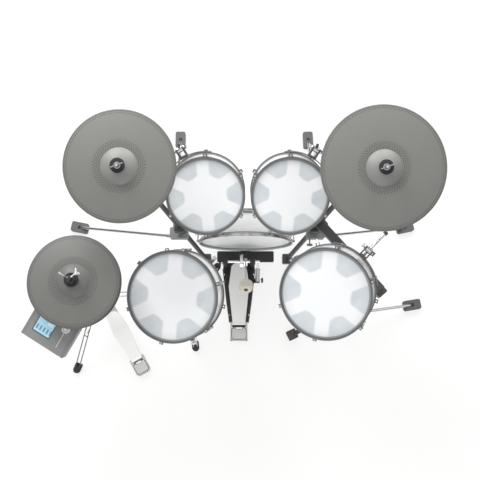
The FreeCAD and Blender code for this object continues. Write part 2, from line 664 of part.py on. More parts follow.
for name, side in (("left_tom", -1), ("right_tom", 1)):
    pivot, across = pivots[name]
    foot, top = side_post(side)
    level = d.crossbar_z - d.arm_below
    at_post = on_line(foot, top, level)
    under = Vector(pivot.x, pivot.y, level)
    barrel, bore = knuckle(pivot, across)
    turn = math.degrees(math.atan2(under.y - at_post.y, under.x - at_post.x))
    arm = bent_rod("arm", [at_post + (under - at_post).normalize() * (d.clamp_size / 2), under,
                           pivot + UP * d.arm_stub], d.arm_radius)
    solid = fuse("arm", [clamp_block(at_post, turn, d.clamp_size), arm, barrel])
    node(name + "_arm", cut(name + "_arm", solid, [bore, sleeve_of(foot, top)]))

# Crossbar from the right post to the floor tom's post, with the floor tom's arm on it
pivot, across = pivots["floor_tom"]
foot, top = side_post(1)
bar_start = on_line(foot, top, d.crossbar_z)
bar_stop = Vector(bar_end.x, bar_end.y, d.crossbar_z)
run = bar_stop - bar_start
run_turn = math.degrees(math.atan2(run.y, run.x))
bar_low = Vector(0, 0, -d.crossbar_height / 2)
bar = box("crossbar", run.Length, d.crossbar_width, d.crossbar_height,
          Placement((bar_start + bar_stop) * 0.5 + bar_low, Rotation(UP, run_turn)))
post_clamp = clamp_block(bar_start, run_turn, d.post_clamp_length)
end_drop = Vector(0, 0, -d.crossbar_height / 2 - d.clamp_height)
end_clamp = rounded_box("clamp", d.clamp_size, d.clamp_size, d.clamp_height + d.fit_gap, d.clamp_size / 8,
                        Placement(bar_stop + end_drop, Rotation(UP, run_turn)))
along = run * (1.0 / run.Length)
holder_at = bar_start + along * ((pivot - bar_start).dot(along))
holder = Vector(holder_at.x, holder_at.y, d.crossbar_z)
knee = Vector(pivot.x, pivot.y, d.crossbar_z)
barrel, bore = knuckle(pivot, across)
outward = floor_tom_place.Rotation.multVec(polar(1.0, d.floor_bracket_turn))
stub = Vector(outward.x, outward.y, 0).normalize() * d.floor_stub
arm = bent_rod("arm", [holder, knee, pivot], d.arm_radius)
stub_rod = rod("arm_stub", pivot, pivot + stub, d.arm_radius)
cap = cylinder("arm_cap", d.arm_radius + d.band_gauge, d.arm_radius * 2,
               towards(pivot + stub, pivot + stub * 2))
beam = cut("crossbar", fuse("crossbar", [bar, post_clamp, end_clamp, arm, stub_rod, barrel, cap]),
           [bore, sleeve_of(foot, top), sleeve_of(floor_foot, bar_end)])
node("crossbar", beam)

# Cymbals


def cymbal(name, diameter, bell, place, flip=False):
    """A bowed cymbal with a bell, its rim's underside at Z 0."""
    radius = diameter / 2
    edge = d.cymbal_gauge / 2
    top = d.bow_rise + d.bell_rise
    gauge = d.cymbal_gauge
    item = spun(name, [
        (d.cymbal_hole, top - gauge, gauge - d.bell_round), (bell, d.bow_rise - gauge, -d.bow_round),
        (radius - edge, 0.0), (radius, edge), (radius - edge, gauge, d.bow_round),
        (bell, d.bow_rise, d.bell_round), (d.cymbal_hole, top)])
    turned = place.multiply(Placement(Vector(), Rotation(Vector(1, 0, 0), 180))) if flip else place
    return node(name, item, turned)


def tilter(name, place, pivot):
    """What a cymbal hangs on: the stem with its barrel, felts, sleeve and wing nut."""
    under = d.bow_rise + d.bell_rise - d.cymbal_gauge
    over = under + d.cymbal_gauge
    seat = cone("felt_seat", d.felt_radius, d.sleeve_radius, d.cone_height,
                Placement(Vector(0, 0, under - d.fit_gap - d.cone_height), Rotation()))
    stem_low = -d.stem_drop
    stem = cylinder("stem", d.stem_radius, over + d.stem_rise + d.stem_drop,
                    Placement(Vector(0, 0, stem_low), Rotation()))
    sleeve = cylinder("sleeve", d.sleeve_radius, d.cymbal_gauge + d.felt_height * 2,
                      Placement(Vector(0, 0, under - d.felt_height), Rotation()))
    hood_low = over + d.fit_gap
    hood = cone("felt_hood", d.sleeve_radius, d.felt_radius, d.cone_height,
                Placement(Vector(0, 0, hood_low), Rotation()))
    cap = cylinder("felt_cap", d.felt_radius, d.felt_height / 2,
                   Placement(Vector(0, 0, hood_low + d.cone_height), Rotation()))
    nut_low = hood_low + d.cone_height + d.felt_height / 2
    nut = cone("wing_nut", d.nut_radius, d.nut_top, d.nut_height,
               Placement(Vector(0, 0, nut_low), Rotation()))
    wings = box("wings", d.wing_span, d.wing_gauge, d.wing_blade,
                Placement(Vector(0, 0, nut_low + d.wing_gauge), Rotation(UP, d.wing_turn)))
    local = place.inverse().multVec(pivot)
    barrel = cylinder("tilter_barrel", d.tilter_radius, d.tilter_width, Placement(
        local - Vector(d.tilter_width / 2, 0, 0), Rotation(Vector(0, 1, 0), 90)))
    bore = cylinder("tilter_bore", d.rod_radius + d.running_gap, d.tilter_width * 3, Placement(
        local - Vector(d.tilter_width * 1.5, 0, 0), Rotation(Vector(0, 1, 0), 90)))
    solid = cut(name, fuse(name, [seat, stem, sleeve, hood, cap, nut, wings, barrel]), bore)
    return node(name, solid, place)


cymbal("crash_cymbal", d.crash_diameter, d.bell_radius, crash_place)
cymbal("ride_cymbal", d.ride_diameter, d.bell_radius, ride_place)
tilter("crash_tilter", crash_place, crash_pivot)
tilter("ride_tilter", ride_place, ride_pivot)

# Hi-hat

hihat_axis = spot(d.hihat_x, d.hihat_y, 0)
hihat_place = Placement(hihat_axis + UP * d.hihat_z, Rotation())
low_place = Placement(hihat_axis + UP * (d.hihat_z - d.hihat_open), Rotation())
cymbal("hihat_top_cymbal", d.hihat_diameter, d.hihat_bell_radius, hihat_place)
cymbal("hihat_bottom_cymbal", d.hihat_diameter, d.hihat_bell_radius, low_place, True)


def upright(name, radius, low, high):
    return cylinder(name, radius, high - low, Placement(hihat_axis + UP * low, Rotation()))


bell_top = d.hihat_z + d.bow_rise + d.bell_rise
cup_top = d.hihat_z - d.hihat_open - d.bow_rise - d.bell_rise - d.fit_gap
seat = upright("hihat_seat", d.felt_radius, cup_top - d.felt_height, cup_top)
pilot = upright("hihat_pilot", d.cymbal_hole - d.fit_gap, cup_top - d.felt_height, cup_top + d.felt_height)
upper = upright("hihat_upper", d.hihat_upper_radius, d.hihat_leg_top, cup_top)
lower = upright("hihat_lower", d.hihat_tube_radius, d.base_gauge + d.fit_gap, d.hihat_joint_z)
collar = upright("hihat_collar", d.hihat_tube_radius + d.band_gauge * 2, d.hihat_joint_z,
                 d.hihat_joint_z + d.clamp_height)
wing_at = Vector(d.hihat_tube_radius + d.wing_span / 2, 0, d.hihat_joint_z + d.wing_gauge)
wing = box("hihat_wing", d.wing_span, d.wing_gauge, d.wing_height,
           Placement(hihat_axis + wing_at, Rotation()))
rod_room = upright("hihat_rod_room", d.hihat_rod_radius + d.running_gap,
                   d.hihat_rod_low - d.hihat_travel_room, cup_top * 2)
tubes = fuse("hihat_stand", [seat, pilot, upper, lower, collar, wing])
node("hihat_stand", cut("hihat_stand", tubes, rod_room))

pull_rod = upright("hihat_rod", d.hihat_rod_radius, d.hihat_rod_low, d.hihat_rod_top)
clutch_sleeve = upright("clutch_sleeve", d.cymbal_hole - d.fit_gap, bell_top - d.felt_height,
                        bell_top + d.felt_height)
clutch_low = cone("clutch_felt", d.nut_radius * 2, d.cymbal_hole, d.felt_height, Placement(
    hihat_axis + UP * (bell_top - d.cymbal_gauge - d.fit_gap - d.felt_height), Rotation()))
clutch_high = upright("clutch_felt", d.felt_radius, bell_top + d.fit_gap, bell_top + d.clutch_felt_height)
clutch_body = upright("clutch", d.nut_radius, bell_top, bell_top + d.clutch_height)
key_at = Vector(d.wing_span / 2, 0, bell_top + d.clutch_height - d.wing_height)
clutch_key = box("clutch_key", d.wing_span, d.wing_gauge, d.wing_blade,
                 Placement(hihat_axis + key_at, Rotation(UP, d.clutch_key_turn)))
node("hihat_rod", fuse("hihat_rod", [
    pull_rod, clutch_sleeve, clutch_low, clutch_high, clutch_body, clutch_key]))


def strap(name, start, end, turn, depth):
    """A flat bar between two points of a leg's upright plane, its thin side across the leg."""
    way = Rotation(UP, -turn).multVec(end - start)
    lean = math.degrees(math.atan2(way.x, way.z))
    return box(name, depth, d.strap_gauge, way.Length, Placement(
        start, Rotation(UP, turn).multiply(Rotation(Vector(0, 1, 0), lean))))


def braced_legs(axis, reach, turns, high, low):
    """Folding legs: each a pair of flat straps from a collar, with a strut, a tie and a rubber foot."""
    pieces = []
    for turn in turns:
        facing = Rotation(UP, turn)
        end = axis + facing.multVec(Vector(reach, 0, d.rubber_height / 2))
        side = facing.multVec(Vector(0, d.brace_spread / 2, 0))
        inner = axis + facing.multVec(Vector(d.leg_collar, 0, 0))
        bars = [strap("brace", inner + UP * high + side * sign, end + side * sign, turn, d.strap_depth)
                for sign in (1, -1)]
        middle = (inner + UP * high + end) * 0.5
        strut = strap("strut", inner + UP * low, middle, turn, d.strut_depth)
        tie = box("tie", d.strut_depth, d.brace_spread, d.strap_gauge, Placement(
            middle - UP * (d.strap_gauge / 2), facing))
        tip = cylinder("leg_tip", d.rubber_radius, d.rubber_height, Placement(
            axis + facing.multVec(Vector(reach, 0, 0)), facing))
        pieces.append(fuse("braced_leg", bars + [strut, tie, tip]))
    return pieces


def leg_collars(axis, tube, heights):
    """Rings on a stand's tube that its legs are pinned to."""
    pieces = []
    for height in heights:
        where = Placement(axis + UP * (height - d.collar_height / 2), Rotation())
        ring = cylinder("leg_ring", d.leg_collar + d.band_gauge, d.collar_height, where)
        pieces.append(cut("leg_ring", ring, cylinder("ring_room", tube + d.fit_gap, d.collar_height, where)))
    return pieces


hihat_legs = braced_legs(hihat_axis, d.hihat_leg_reach, [d.hihat_leg_turn + i * 120.0 for i in range(3)],
                         d.hihat_leg_top, d.hihat_strut_z)
node("hihat_legs", fuse("hihat_legs", hihat_legs + leg_collars(
    hihat_axis, d.hihat_tube_radius, (d.hihat_leg_top, d.hihat_strut_z))))

# Foot pedals, built along their own +Y from the heel


def heel_plate(width, hinge):
    """The fixed heel, with two lugs that hold the hinge pin."""
    length = hinge - d.barrel_radius * 2
    block = rounded_box("heel", width, length, d.heel_height - d.base_gauge, d.heel_round,
                        Placement(Vector(0, length / 2, d.base_gauge), Rotation()))
    parts = [block]
    for side in (-1, 1):
        lug_at = Vector(side * (width / 2 - d.hinge_lug / 2), hinge - d.barrel_radius, d.base_gauge)
        parts.append(box("hinge_lug", d.hinge_lug, d.barrel_radius * 4, d.heel_height - d.base_gauge,
                         Placement(lug_at, Rotation())))
    pin = cylinder("hinge_pin", d.axle_radius / 2, width, towards(
        Vector(-width / 2, hinge, d.hinge_z), Vector(width / 2, hinge, d.hinge_z)))
    return fuse("heel_plate", parts + [pin])


# A board, by parts of its length, of its toe's width and of its barrel's radius
WIDEST_AT = 0.58
TOE_ROUND = 0.6
NECK = 1.5


def foot_board(heel_width, width, toe_width, length, lift):
    """A hinged foot board: a barrel on the pin and a tapered plate with a round toe, at its rest angle."""
    barrel_half = heel_width / 2 - d.hinge_lug - d.fit_gap
    barrel = cylinder("board_barrel", d.barrel_radius, barrel_half * 2,
                      towards(Vector(-barrel_half, 0, 0), Vector(barrel_half, 0, 0)))
    neck = d.barrel_radius * NECK
    wide = length * WIDEST_AT
    shoulder = length - toe_width / 2
    plate = pad("board", [
        (-barrel_half, 0.0), (barrel_half, 0.0), (barrel_half, neck), (width / 2, wide),
        (toe_width / 2, shoulder, toe_width * TOE_ROUND),
        (-toe_width / 2, shoulder), (-width / 2, wide), (-barrel_half, neck)], d.board_gauge)
    plate.Placement = Placement(Vector(0, 0, -d.board_gauge / 2), Rotation())
    bore = cylinder("board_bore", d.axle_radius / 2 + d.running_gap, heel_width * 2,
                    towards(Vector(-heel_width, 0, 0), Vector(heel_width, 0, 0)))
    solid = cut("foot_board", fuse("foot_board", [plate, barrel]), bore)
    angle = math.degrees(math.asin(lift / length))
    return solid, Rotation(Vector(1, 0, 0), angle)


# Kick pedal
pedal_place = Placement(spot(d.pedal_x, d.pedal_heel_y, 0), Rotation())
pedal_hinge = d.pedal_hinge_y - d.pedal_heel_y
pedal_length = d.pedal_toe_y - d.pedal_hinge_y
axle_line = d.axle_y - d.pedal_heel_y
base_end = d.kick_y - d.hoop_rise - d.plate_depth - d.fit_gap - d.pedal_heel_y
base_half = d.pedal_post_span / 2 + d.pedal_post_width
sole_plate = pad("pedal_sole", [
    (-d.pedal_heel_width / 2, 0.0), (d.pedal_heel_width / 2, 0.0), (d.pedal_heel_width / 2, pedal_hinge),
    (base_half, base_end - d.pedal_post_width * 2), (base_half, base_end), (-base_half, base_end),
    (-base_half, base_end - d.pedal_post_width * 2), (-d.pedal_heel_width / 2, pedal_hinge)], d.base_gauge)
base_parts = [sole_plate]
for side in (-1, 1):
    base_parts.append(rounded_box("pedal_post", d.pedal_post_width, d.pedal_post_depth,
                                  d.axle_z + d.axle_radius * 2, d.pedal_post_width / 5,
                                  Placement(Vector(side * d.pedal_post_span / 2, axle_line, 0), Rotation())))
spring_x = base_half + d.spring_coil + d.spring_wire * 2
anchor_y = axle_line - d.spring_back
base_parts.append(box("spring_outrigger", spring_x * 2 - base_half, d.anchor_size, d.base_gauge, Placement(
    Vector(base_half / 2, anchor_y, 0), Rotation())))
anchor = box("spring_anchor", d.anchor_size, d.anchor_size, d.anchor_height, Placement(
    Vector(spring_x, anchor_y, 0), Rotation()))
axle_room = cylinder("axle_room", d.axle_radius + d.running_gap, base_half * 4, towards(
    Vector(-base_half * 2, axle_line, d.axle_z), Vector(base_half * 2, axle_line, d.axle_z)))
node("pedal_base", cut("pedal_base", fuse("pedal_base", base_parts + [anchor]), axle_room), pedal_place)
node("pedal_heel_plate", heel_plate(d.pedal_heel_width, pedal_hinge), pedal_place)
board, board_turn = foot_board(d.pedal_heel_width, d.pedal_board_width, d.pedal_toe_width, pedal_length,
                               d.pedal_board_lift)
node("pedal_footboard", board, pedal_place.multiply(Placement(Vector(0, pedal_hinge, d.hinge_z), board_turn)))

axle_reach = spring_x + d.spring_coil
axle = cylinder("axle", d.axle_radius, axle_reach + base_half, towards(
    Vector(-base_half, axle_line, d.axle_z), Vector(axle_reach, axle_line, d.axle_z)))
cam = cylinder("cam", d.cam_radius, d.cam_width, towards(
    Vector(d.cam_offset - d.cam_width / 2, axle_line, d.axle_z), Vector(d.cam_offset, axle_line, d.axle_z)))
beater_x = d.kick_x - d.pedal_x
swing = Rotation(Vector(1, 0, 0), d.beater_lean)
beater_frame = Placement(Vector(beater_x, axle_line, d.axle_z), swing)
hub_block = box("beater_hub", d.cam_width, d.axle_radius * 4, d.axle_radius * 5, beater_frame.multiply(
    Placement(Vector(0, 0, -d.axle_radius * 2), Rotation())))
rocker = box("spring_rocker", d.cam_width / 2, d.rocker_reach, d.axle_radius * 1.5, Placement(
    Vector(spring_x, axle_line - d.rocker_reach / 2, d.axle_z - d.axle_radius), Rotation()))
shaft_room = cylinder("beater_room", d.beater_rod + d.fit_gap, d.beater_reach, beater_frame)
turning = fuse("pedal_axle", [axle, cam, hub_block, rocker])
node("pedal_axle", cut("pedal_axle", turning, shaft_room), pedal_place)
shaft = cylinder("beater_shaft", d.beater_rod, d.beater_reach, beater_frame)
felt = cylinder("beater_felt", d.beater_radius, d.beater_width, beater_frame.multiply(
    towards(Vector(0, -d.beater_width / 2, d.beater_reach), Vector(0, d.beater_width, d.beater_reach))))
node("pedal_beater", fuse("pedal_beater", [shaft, felt]), pedal_place)
toe = Vector(d.cam_offset - d.cam_width / 2, axle_line + d.cam_radius + d.fit_gap, 0)
board_top = d.hinge_z + d.pedal_board_lift * (toe.y - pedal_hinge) / pedal_length + d.board_gauge
band_high = d.axle_z + d.cam_radius / 2
node("pedal_band", box("pedal_band", d.band_width, d.band_gauge, band_high - board_top, Placement(
    Vector(toe.x, toe.y + d.band_gauge / 2, board_top), Rotation())), pedal_place)

# Return spring, one unbroken wire wound by turns, whose gap is measured on points along it
SAMPLES_A_TURN = 24


def bent_to(start, tangent, end):
    """The arc that leaves start along a tangent and reaches end."""
    chord = end - start
    straight = chord * (1.0 / chord.Length)
    lean = tangent.getAngle(straight)
    bulge = (tangent - straight * tangent.dot(straight)).normalize()
    middle = (start + end) * 0.5 + bulge * (chord.Length / 2 * math.tan(lean / 2))
    return Part.Arc(start, middle, end).toShape()


def coil_wire(radius, pitch, turns):
    """A helix about Z as pairs of tangent arcs, two pairs for each turn."""
    def point(angle):
        return Vector(radius * math.cos(angle), radius * math.sin(angle), pitch * angle / (2 * math.pi))

    def tangent(angle):
        return Vector(-radius * math.sin(angle), radius * math.cos(angle), pitch / (2 * math.pi)).normalize()

    edges = []
    for i in range(int(round(turns * 4))):
        low, high = i * math.pi / 2, (i + 1) * math.pi / 2
        start, end, leave, arrive = point(low), point(high), tangent(low), tangent(high)
        span, total = end - start, leave + arrive
        bend = 1.0 - leave.dot(arrive)
        reach = (-span.dot(total) + math.sqrt(span.dot(total) ** 2 + 2 * bend * span.dot(span))) / (2 * bend)
        meet = (start + end + (leave - arrive) * reach) * 0.5
        edges.append(bent_to(start, leave, meet))
        edges.append(bent_to(end, arrive * -1.0, meet))
    return Part.Wire(Part.sortEdges(edges)[0]), point(0), tangent(0)


spring_high = Vector(spring_x, axle_line - d.rocker_reach + d.spring_wire,
                     d.axle_z - d.axle_radius - d.spring_wire * 2)
spring_low = Vector(spring_x, anchor_y, d.anchor_height + d.spring_wire * 2)
spring_length = (spring_high - spring_low).Length
pitch = spring_length / d.spring_turns
path, begin, heading = coil_wire(d.spring_coil, pitch, d.spring_turns)
samples = path.discretize(int(d.spring_turns * SAMPLES_A_TURN))
a_turn = len(samples) // int(d.spring_turns)
least_gap = min(point.distanceToPoint(other) for i, point in enumerate(samples)
                for other in samples[i + a_turn // 2:i + a_turn * 2]) - d.spring_wire * 2
print("spring: least gap to itself %.2f mm" % least_gap)
ring = Part.Wire(Part.Circle(begin, heading, d.spring_wire).toShape())
wound = Part.BRepOffsetAPI.MakePipeShell(path)
wound.add(ring)
wound.build()
wound.makeSolid()
spring = doc.addObject("Part::Feature", "pedal_spring")
spring.Shape = wound.shape()
node("pedal_spring", spring, pedal_place.multiply(towards(spring_low, spring_high)))

# Kick drum's pedal plate and spurs
plate_front = d.kick_y - d.hoop_rise - d.plate_depth
plate = rounded_box("kick_plate", d.plate_width, d.plate_depth, d.plate_height, d.foot_height / 4, Placement(
    spot(d.kick_x, plate_front + d.plate_depth / 2, 0), Rotation()))
hoop_low = kick_z - d.kick_diameter / 2 - d.hoop_flange
saddle = box("kick_saddle", d.clamp_size, d.kick_depth / 3, hoop_low - d.fit_gap, Placement(
    spot(d.kick_x, d.kick_y - d.hoop_rise + d.kick_depth / 6, 0), Rotation()))
node("kick_plate", fuse("kick_plate", [plate, saddle]))
spurs = []
for side in (-1, 1):
    reach = d.kick_diameter / 2
    seat_y = d.kick_y + d.kick_depth / 2
    seat_at = spot(d.kick_x + side * (reach + d.spur_radius * 2 + d.fit_gap), seat_y, kick_z - d.spur_drop)
    tip = spot(d.kick_x + side * (reach + d.spur_spread), seat_y + d.spur_forward, d.spur_radius)
    pod = box("spur_pod", d.spur_radius * 4, d.spur_radius * 4, d.spur_radius * 6, Placement(
        seat_at - UP * (d.spur_radius * 3), Rotation()))
    spurs.append(fuse("spur", [pod, rod("spur", seat_at, tip, d.spur_radius),
                               sphere("spur_tip", d.spur_radius, tip)]))
shell_room = cylinder("spur_room", d.kick_diameter / 2 + d.fit_gap, d.kick_depth * 2, kick_place.multiply(
    Placement(Vector(0, 0, -d.kick_depth * 1.5), Rotation())))
node("kick_spurs", cut("kick_spurs", group("kick_spurs", spurs), shell_room))

# Snare stand and basket
basket_pivot = snare_place.multVec(Vector(0, 0, -d.snare_depth - d.basket_drop))
stand_axis = Vector(basket_pivot.x, basket_pivot.y, 0)
lean_side = polar(1.0, d.snare_facing + 90.0)
barrel, bore = knuckle(basket_pivot, lean_side)
tube_top = basket_pivot.z - d.knuckle_radius / 2
stand_tube = cylinder("snare_tube", d.snare_tube_radius, tube_top - d.snare_tube_low, Placement(
    stand_axis + UP * d.snare_tube_low, Rotation()))
snare_legs = braced_legs(stand_axis, d.snare_leg_reach,
                         (d.snare_leg_turn, d.snare_east_turn, d.snare_west_turn), d.snare_leg_top,
                         d.snare_strut_z)
rings = leg_collars(stand_axis, d.snare_tube_radius, (d.snare_leg_top, d.snare_strut_z))
snare_tube = cut("snare_tube", fuse("snare_tube", [stand_tube, barrel]), bore)
node("snare_stand", group("snare_stand", [snare_tube, fuse("snare_legs", snare_legs + rings)]))

grip_out = d.snare_diameter / 2 + d.ear_reach + d.rod_line
grip_low = -d.snare_depth - d.hoop_rise - d.fit_gap
reach = d.knuckle_width / 2 + d.fit_gap + d.fork_gauge
pivot_local = Vector(0, 0, -d.snare_depth - d.basket_drop)
fork = []
across_local = snare_place.Rotation.inverted().multVec(lean_side)
fork_turn = math.degrees(math.atan2(across_local.y, across_local.x))
for side in (-1, 1):
    middle = pivot_local + across_local * (side * (d.knuckle_width / 2 + d.fit_gap + d.fork_gauge / 2))
    fork.append(box("basket_cheek", d.fork_gauge, d.fork_height, d.basket_cheek, Placement(
        middle - UP * (d.fork_height / 2), Rotation(UP, fork_turn))))
hub_level = d.basket_cheek - d.fork_height / 2
fork.append(cylinder("basket_hub", d.basket_hub, d.fork_gauge, Placement(
    pivot_local + UP * (hub_level - d.fork_gauge), Rotation())))
fork.append(cylinder("basket_bolt", d.rod_radius, reach * 2 + d.fork_gauge, towards(
    pivot_local - across_local * (reach + d.fork_gauge / 2), pivot_local + across_local)))
for i in range(3):
    facing = Rotation(UP, d.basket_turn + i * 120.0)
    low = facing.multVec(Vector(d.knuckle_width, 0, hub_level - d.fork_gauge / 2)) + pivot_local
    knee = facing.multVec(Vector(grip_out, 0, grip_low - d.arm_radius))
    grip = facing.multVec(Vector(grip_out, 0, grip_low + d.grip_height))
    rest_at = Vector(d.snare_diameter / 2 + d.ear_reach, 0, grip_low - d.arm_radius)
    pad_at = Placement(facing.multVec(rest_at), facing)
    fork.append(bent_rod("basket_arm", [low, knee, grip], d.brace_radius))
    fork.append(box("basket_rest", d.ear_reach * 3, d.ear_width, d.arm_radius, pad_at))
node("snare_basket", fuse("snare_basket", fork), snare_place)

# Hi-hat pedal
hihat_heel = spot(d.hihat_heel_x, d.hihat_heel_y, 0)
way = hihat_axis - hihat_heel
hihat_turn = Rotation(UP, math.degrees(math.atan2(way.y, way.x)) - 90.0)
hihat_pedal = Placement(hihat_heel, hihat_turn)
hihat_length = way.Length - d.hihat_toe_gap - d.heel_length
sole_half = d.hihat_board_width / 3
frame_plate = box("hihat_sole", sole_half * 2, way.Length + sole_half, d.base_gauge, Placement(
    Vector(0, way.Length / 2 + sole_half / 2, 0), Rotation()))
heel = heel_plate(d.hihat_board_width, d.heel_length)
node("hihat_heel_plate", fuse("hihat_heel", [heel, frame_plate]), hihat_pedal)
board, board_turn = foot_board(d.hihat_board_width, d.hihat_board_width + d.hinge_lug, d.hihat_toe_width,
                               hihat_length, d.hihat_board_lift)
board_place = hihat_pedal.multiply(Placement(Vector(0, d.heel_length, d.hinge_z), board_turn))
node("hihat_footboard", board, board_place)

# Sound module on the hi-hat stand's tube, with a row of jack sockets in its left cheek
JACKS = (-1.5, -0.5, 0.5, 1.5)
module_place = Placement(spot(d.module_x, d.module_y, d.module_z), Rotation(UP, d.module_turn).multiply(
    Rotation(Vector(1, 0, 0), d.module_lean)))
case_width = d.module_width - d.cheek_width * 2
case = rounded_box("case", case_width, d.module_depth, d.module_height, d.cheek_width / 4)
cheeks = [rounded_box("cheek", d.cheek_width, d.module_depth, d.module_height, d.cheek_width / 3, Placement(
    Vector(side * (case_width + d.cheek_width) / 2, 0, 0), Rotation())) for side in (-1, 1)]
half = d.knuckle_width / 2 + d.fit_gap + d.fork_gauge / 2
module_drop = -d.fork_height / 2
forks = [box("module_fork", d.fork_gauge, d.fork_height, d.fork_height, Placement(
    Vector(side * half, 0, -d.fork_height), Rotation())) for side in (-1, 1)]
pin_half = half + d.fork_gauge
pin = cylinder("module_pin", d.rod_radius, pin_half * 2, towards(
    Vector(-pin_half, 0, module_drop), Vector(pin_half, 0, module_drop)))
knob_at = Vector(d.knob_x, d.knob_y, d.module_height)
knob_room = cylinder("knob_room", d.rod_radius + d.running_gap, d.knob_height, Placement(
    knob_at - UP * d.knob_height, Rotation()))
jack_floor = d.jack_depth - d.module_width / 2
jacks = [cylinder("jack", d.jack_radius, d.jack_depth, towards(
    Vector(jack_floor, d.jack_pitch * i, d.module_height / 2),
    Vector(-d.module_width, d.jack_pitch * i, d.module_height / 2))) for i in JACKS]
cheeks[0] = cut("left_cheek", cheeks[0], jacks)
case = cut("module_case", fuse("module_case", [case, pin] + forks), knob_room)
node("module_case", group("module_case", [case] + cheeks), module_place)
screen = rounded_box("screen", d.screen_size, d.screen_size, d.screen_gauge, d.cheek_width / 5,
                     Placement(Vector(d.screen_x, d.screen_y, d.module_height), Rotation()))
node("module_screen", screen, module_place)
node("module_knob", fuse("knob", [
    cylinder("knob", d.knob_radius, d.knob_height, Placement(knob_at + UP * d.fit_gap, Rotation())),
    cylinder("knob_shaft", d.rod_radius, d.knob_height / 2, Placement(
        knob_at + UP * (d.fit_gap - d.knob_height / 2), Rotation()))]), module_place)
module_pivot = module_place.multVec(Vector(0, 0, module_drop))
module_across = module_place.Rotation.multVec(Vector(1, 0, 0))
barrel, bore = knuckle(module_pivot, module_across)
clamp_at = Vector(hihat_axis.x, hihat_axis.y, module_pivot.z)
arm_way = (clamp_at - module_pivot).normalize()
arm_end = clamp_at - arm_way * (d.hihat_upper_radius + d.fit_gap * 2)
arm = rod("module_arm", module_pivot, arm_end, d.arm_radius)
block = rounded_box("module_clamp", d.clamp_size, d.clamp_size, d.clamp_height, d.clamp_size / 8, Placement(
    clamp_at - UP * (d.clamp_height / 2), Rotation(UP, d.module_turn)))
tube_room = upright("tube_room", d.hihat_upper_radius + d.fit_gap, d.hihat_joint_z, d.hihat_z)
node("module_clamp", cut("module_clamp", fuse("module_clamp", [barrel, arm, block]), [bore, tube_room]))

doc.recompute()
faults = [item.Label for item in doc.Objects if "Invalid" in item.State or "Error" in item.State]
for item in nodes:
    if item.Shape.isNull() or not item.Shape.isValid() or not item.Shape.Solids:
        faults.append(item.Label)
if faults:
    raise RuntimeError("these did not build: " + ", ".join(faults))
os.makedirs("parts", exist_ok=True)
whole = FreeCAD.BoundBox()
for item in nodes:
    item.Shape.exportStep("parts/%s.step" % item.Label)
    whole.add(item.Shape.BoundBox)
print("%d nodes, box %.1f %.1f %.1f to %.1f %.1f %.1f" % (
    len(nodes), whole.XMin, whole.YMin, whole.ZMin, whole.XMax, whole.YMax, whole.ZMax))
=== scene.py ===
"""Looks of an electronic drum kit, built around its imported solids."""
import json
from functools import reduce
from math import atan2, cos, hypot, pi, radians, sin, sqrt

import bmesh
import bpy
from bpy.props import FloatProperty, FloatVectorProperty, PointerProperty
from bpy.types import Operator, Panel, PropertyGroup, Scene
from mathutils import Euler, Matrix, Vector


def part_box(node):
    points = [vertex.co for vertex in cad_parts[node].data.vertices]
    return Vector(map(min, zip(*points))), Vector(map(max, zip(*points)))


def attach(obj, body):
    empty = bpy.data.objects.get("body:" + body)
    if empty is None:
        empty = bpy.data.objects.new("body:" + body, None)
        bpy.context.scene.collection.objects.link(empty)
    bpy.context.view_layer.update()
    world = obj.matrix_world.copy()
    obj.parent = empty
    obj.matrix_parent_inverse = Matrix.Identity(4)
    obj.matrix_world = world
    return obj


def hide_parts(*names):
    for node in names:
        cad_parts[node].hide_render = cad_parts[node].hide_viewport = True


bl_info = {
    "name": "Electronic drum kit",
    "version": (1, 0, 0),
    "blender": (4, 5, 0),
    "location": "View3D > Sidebar > Drum kit",
    "description": "Dresses the kit's solids with finishes, fittings and a studio",
    "category": "Object",
}

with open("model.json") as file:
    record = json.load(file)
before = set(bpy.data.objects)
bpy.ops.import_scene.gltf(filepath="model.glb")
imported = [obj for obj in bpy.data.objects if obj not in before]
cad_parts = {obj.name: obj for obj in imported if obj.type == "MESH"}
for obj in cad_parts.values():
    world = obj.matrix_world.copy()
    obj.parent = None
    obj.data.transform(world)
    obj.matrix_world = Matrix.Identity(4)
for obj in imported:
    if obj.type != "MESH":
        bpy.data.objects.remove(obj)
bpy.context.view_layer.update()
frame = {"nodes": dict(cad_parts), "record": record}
NODES = frame["nodes"]
FINISH = {}

MM = 0.001
QUARTER = pi / 2
WHITE = (1.0, 1.0, 1.0)
# The spring's wire, dark and light
STEEL = (0.50, 0.51, 0.52), (0.68, 0.69, 0.70)
# Half the width of a crisp change between two finishes
CRISP = 0.0004
# Waves in a metre, in radians, of the cymbals' lathe rings, the heads' weave and the strap's weave
LATHE, WEAVE, STRAP = 5200.0, 5200.0, 2600.0
# Edges that bend by more than this stay sharp
SHARP = radians(35.0)

# A cymbal's rise over its rim at the bow and the bell, its gauge, and the radius of the bow's arc
BOW_RISE, BELL_RISE, GAUGE, BOW_ROUND = 0.020, 0.024, 0.005, 1.1
# Width of the ring of painted shade round a cymbal's bell, and of its dark rim
BELL_SHADE_RING, DARK_RIM = 0.030, 0.006
# Half the width of the change at a cymbal's bell and rim
CYMBAL_SOFT = 0.004
# The hi-hat's rubber is darker than the other cymbals', and its bell is no lighter
HIHAT_LOOK = {"tone": 0.84, "bell_share": 0.0}
# Rows of dots: the first row's offset from the edge, the step between rows, dots in a metre of
# radius, and the number of rows
RIM_ROWS = (-0.006, -0.0072, 680, 2)
BELL_ROWS = (0.005, 0.0070, 760, 4)
# How much of a dot's radius is sunk in the rubber
PIP_SUNK = 0.45

# The carrier has six arms
ARM_STEP = radians(60.0)
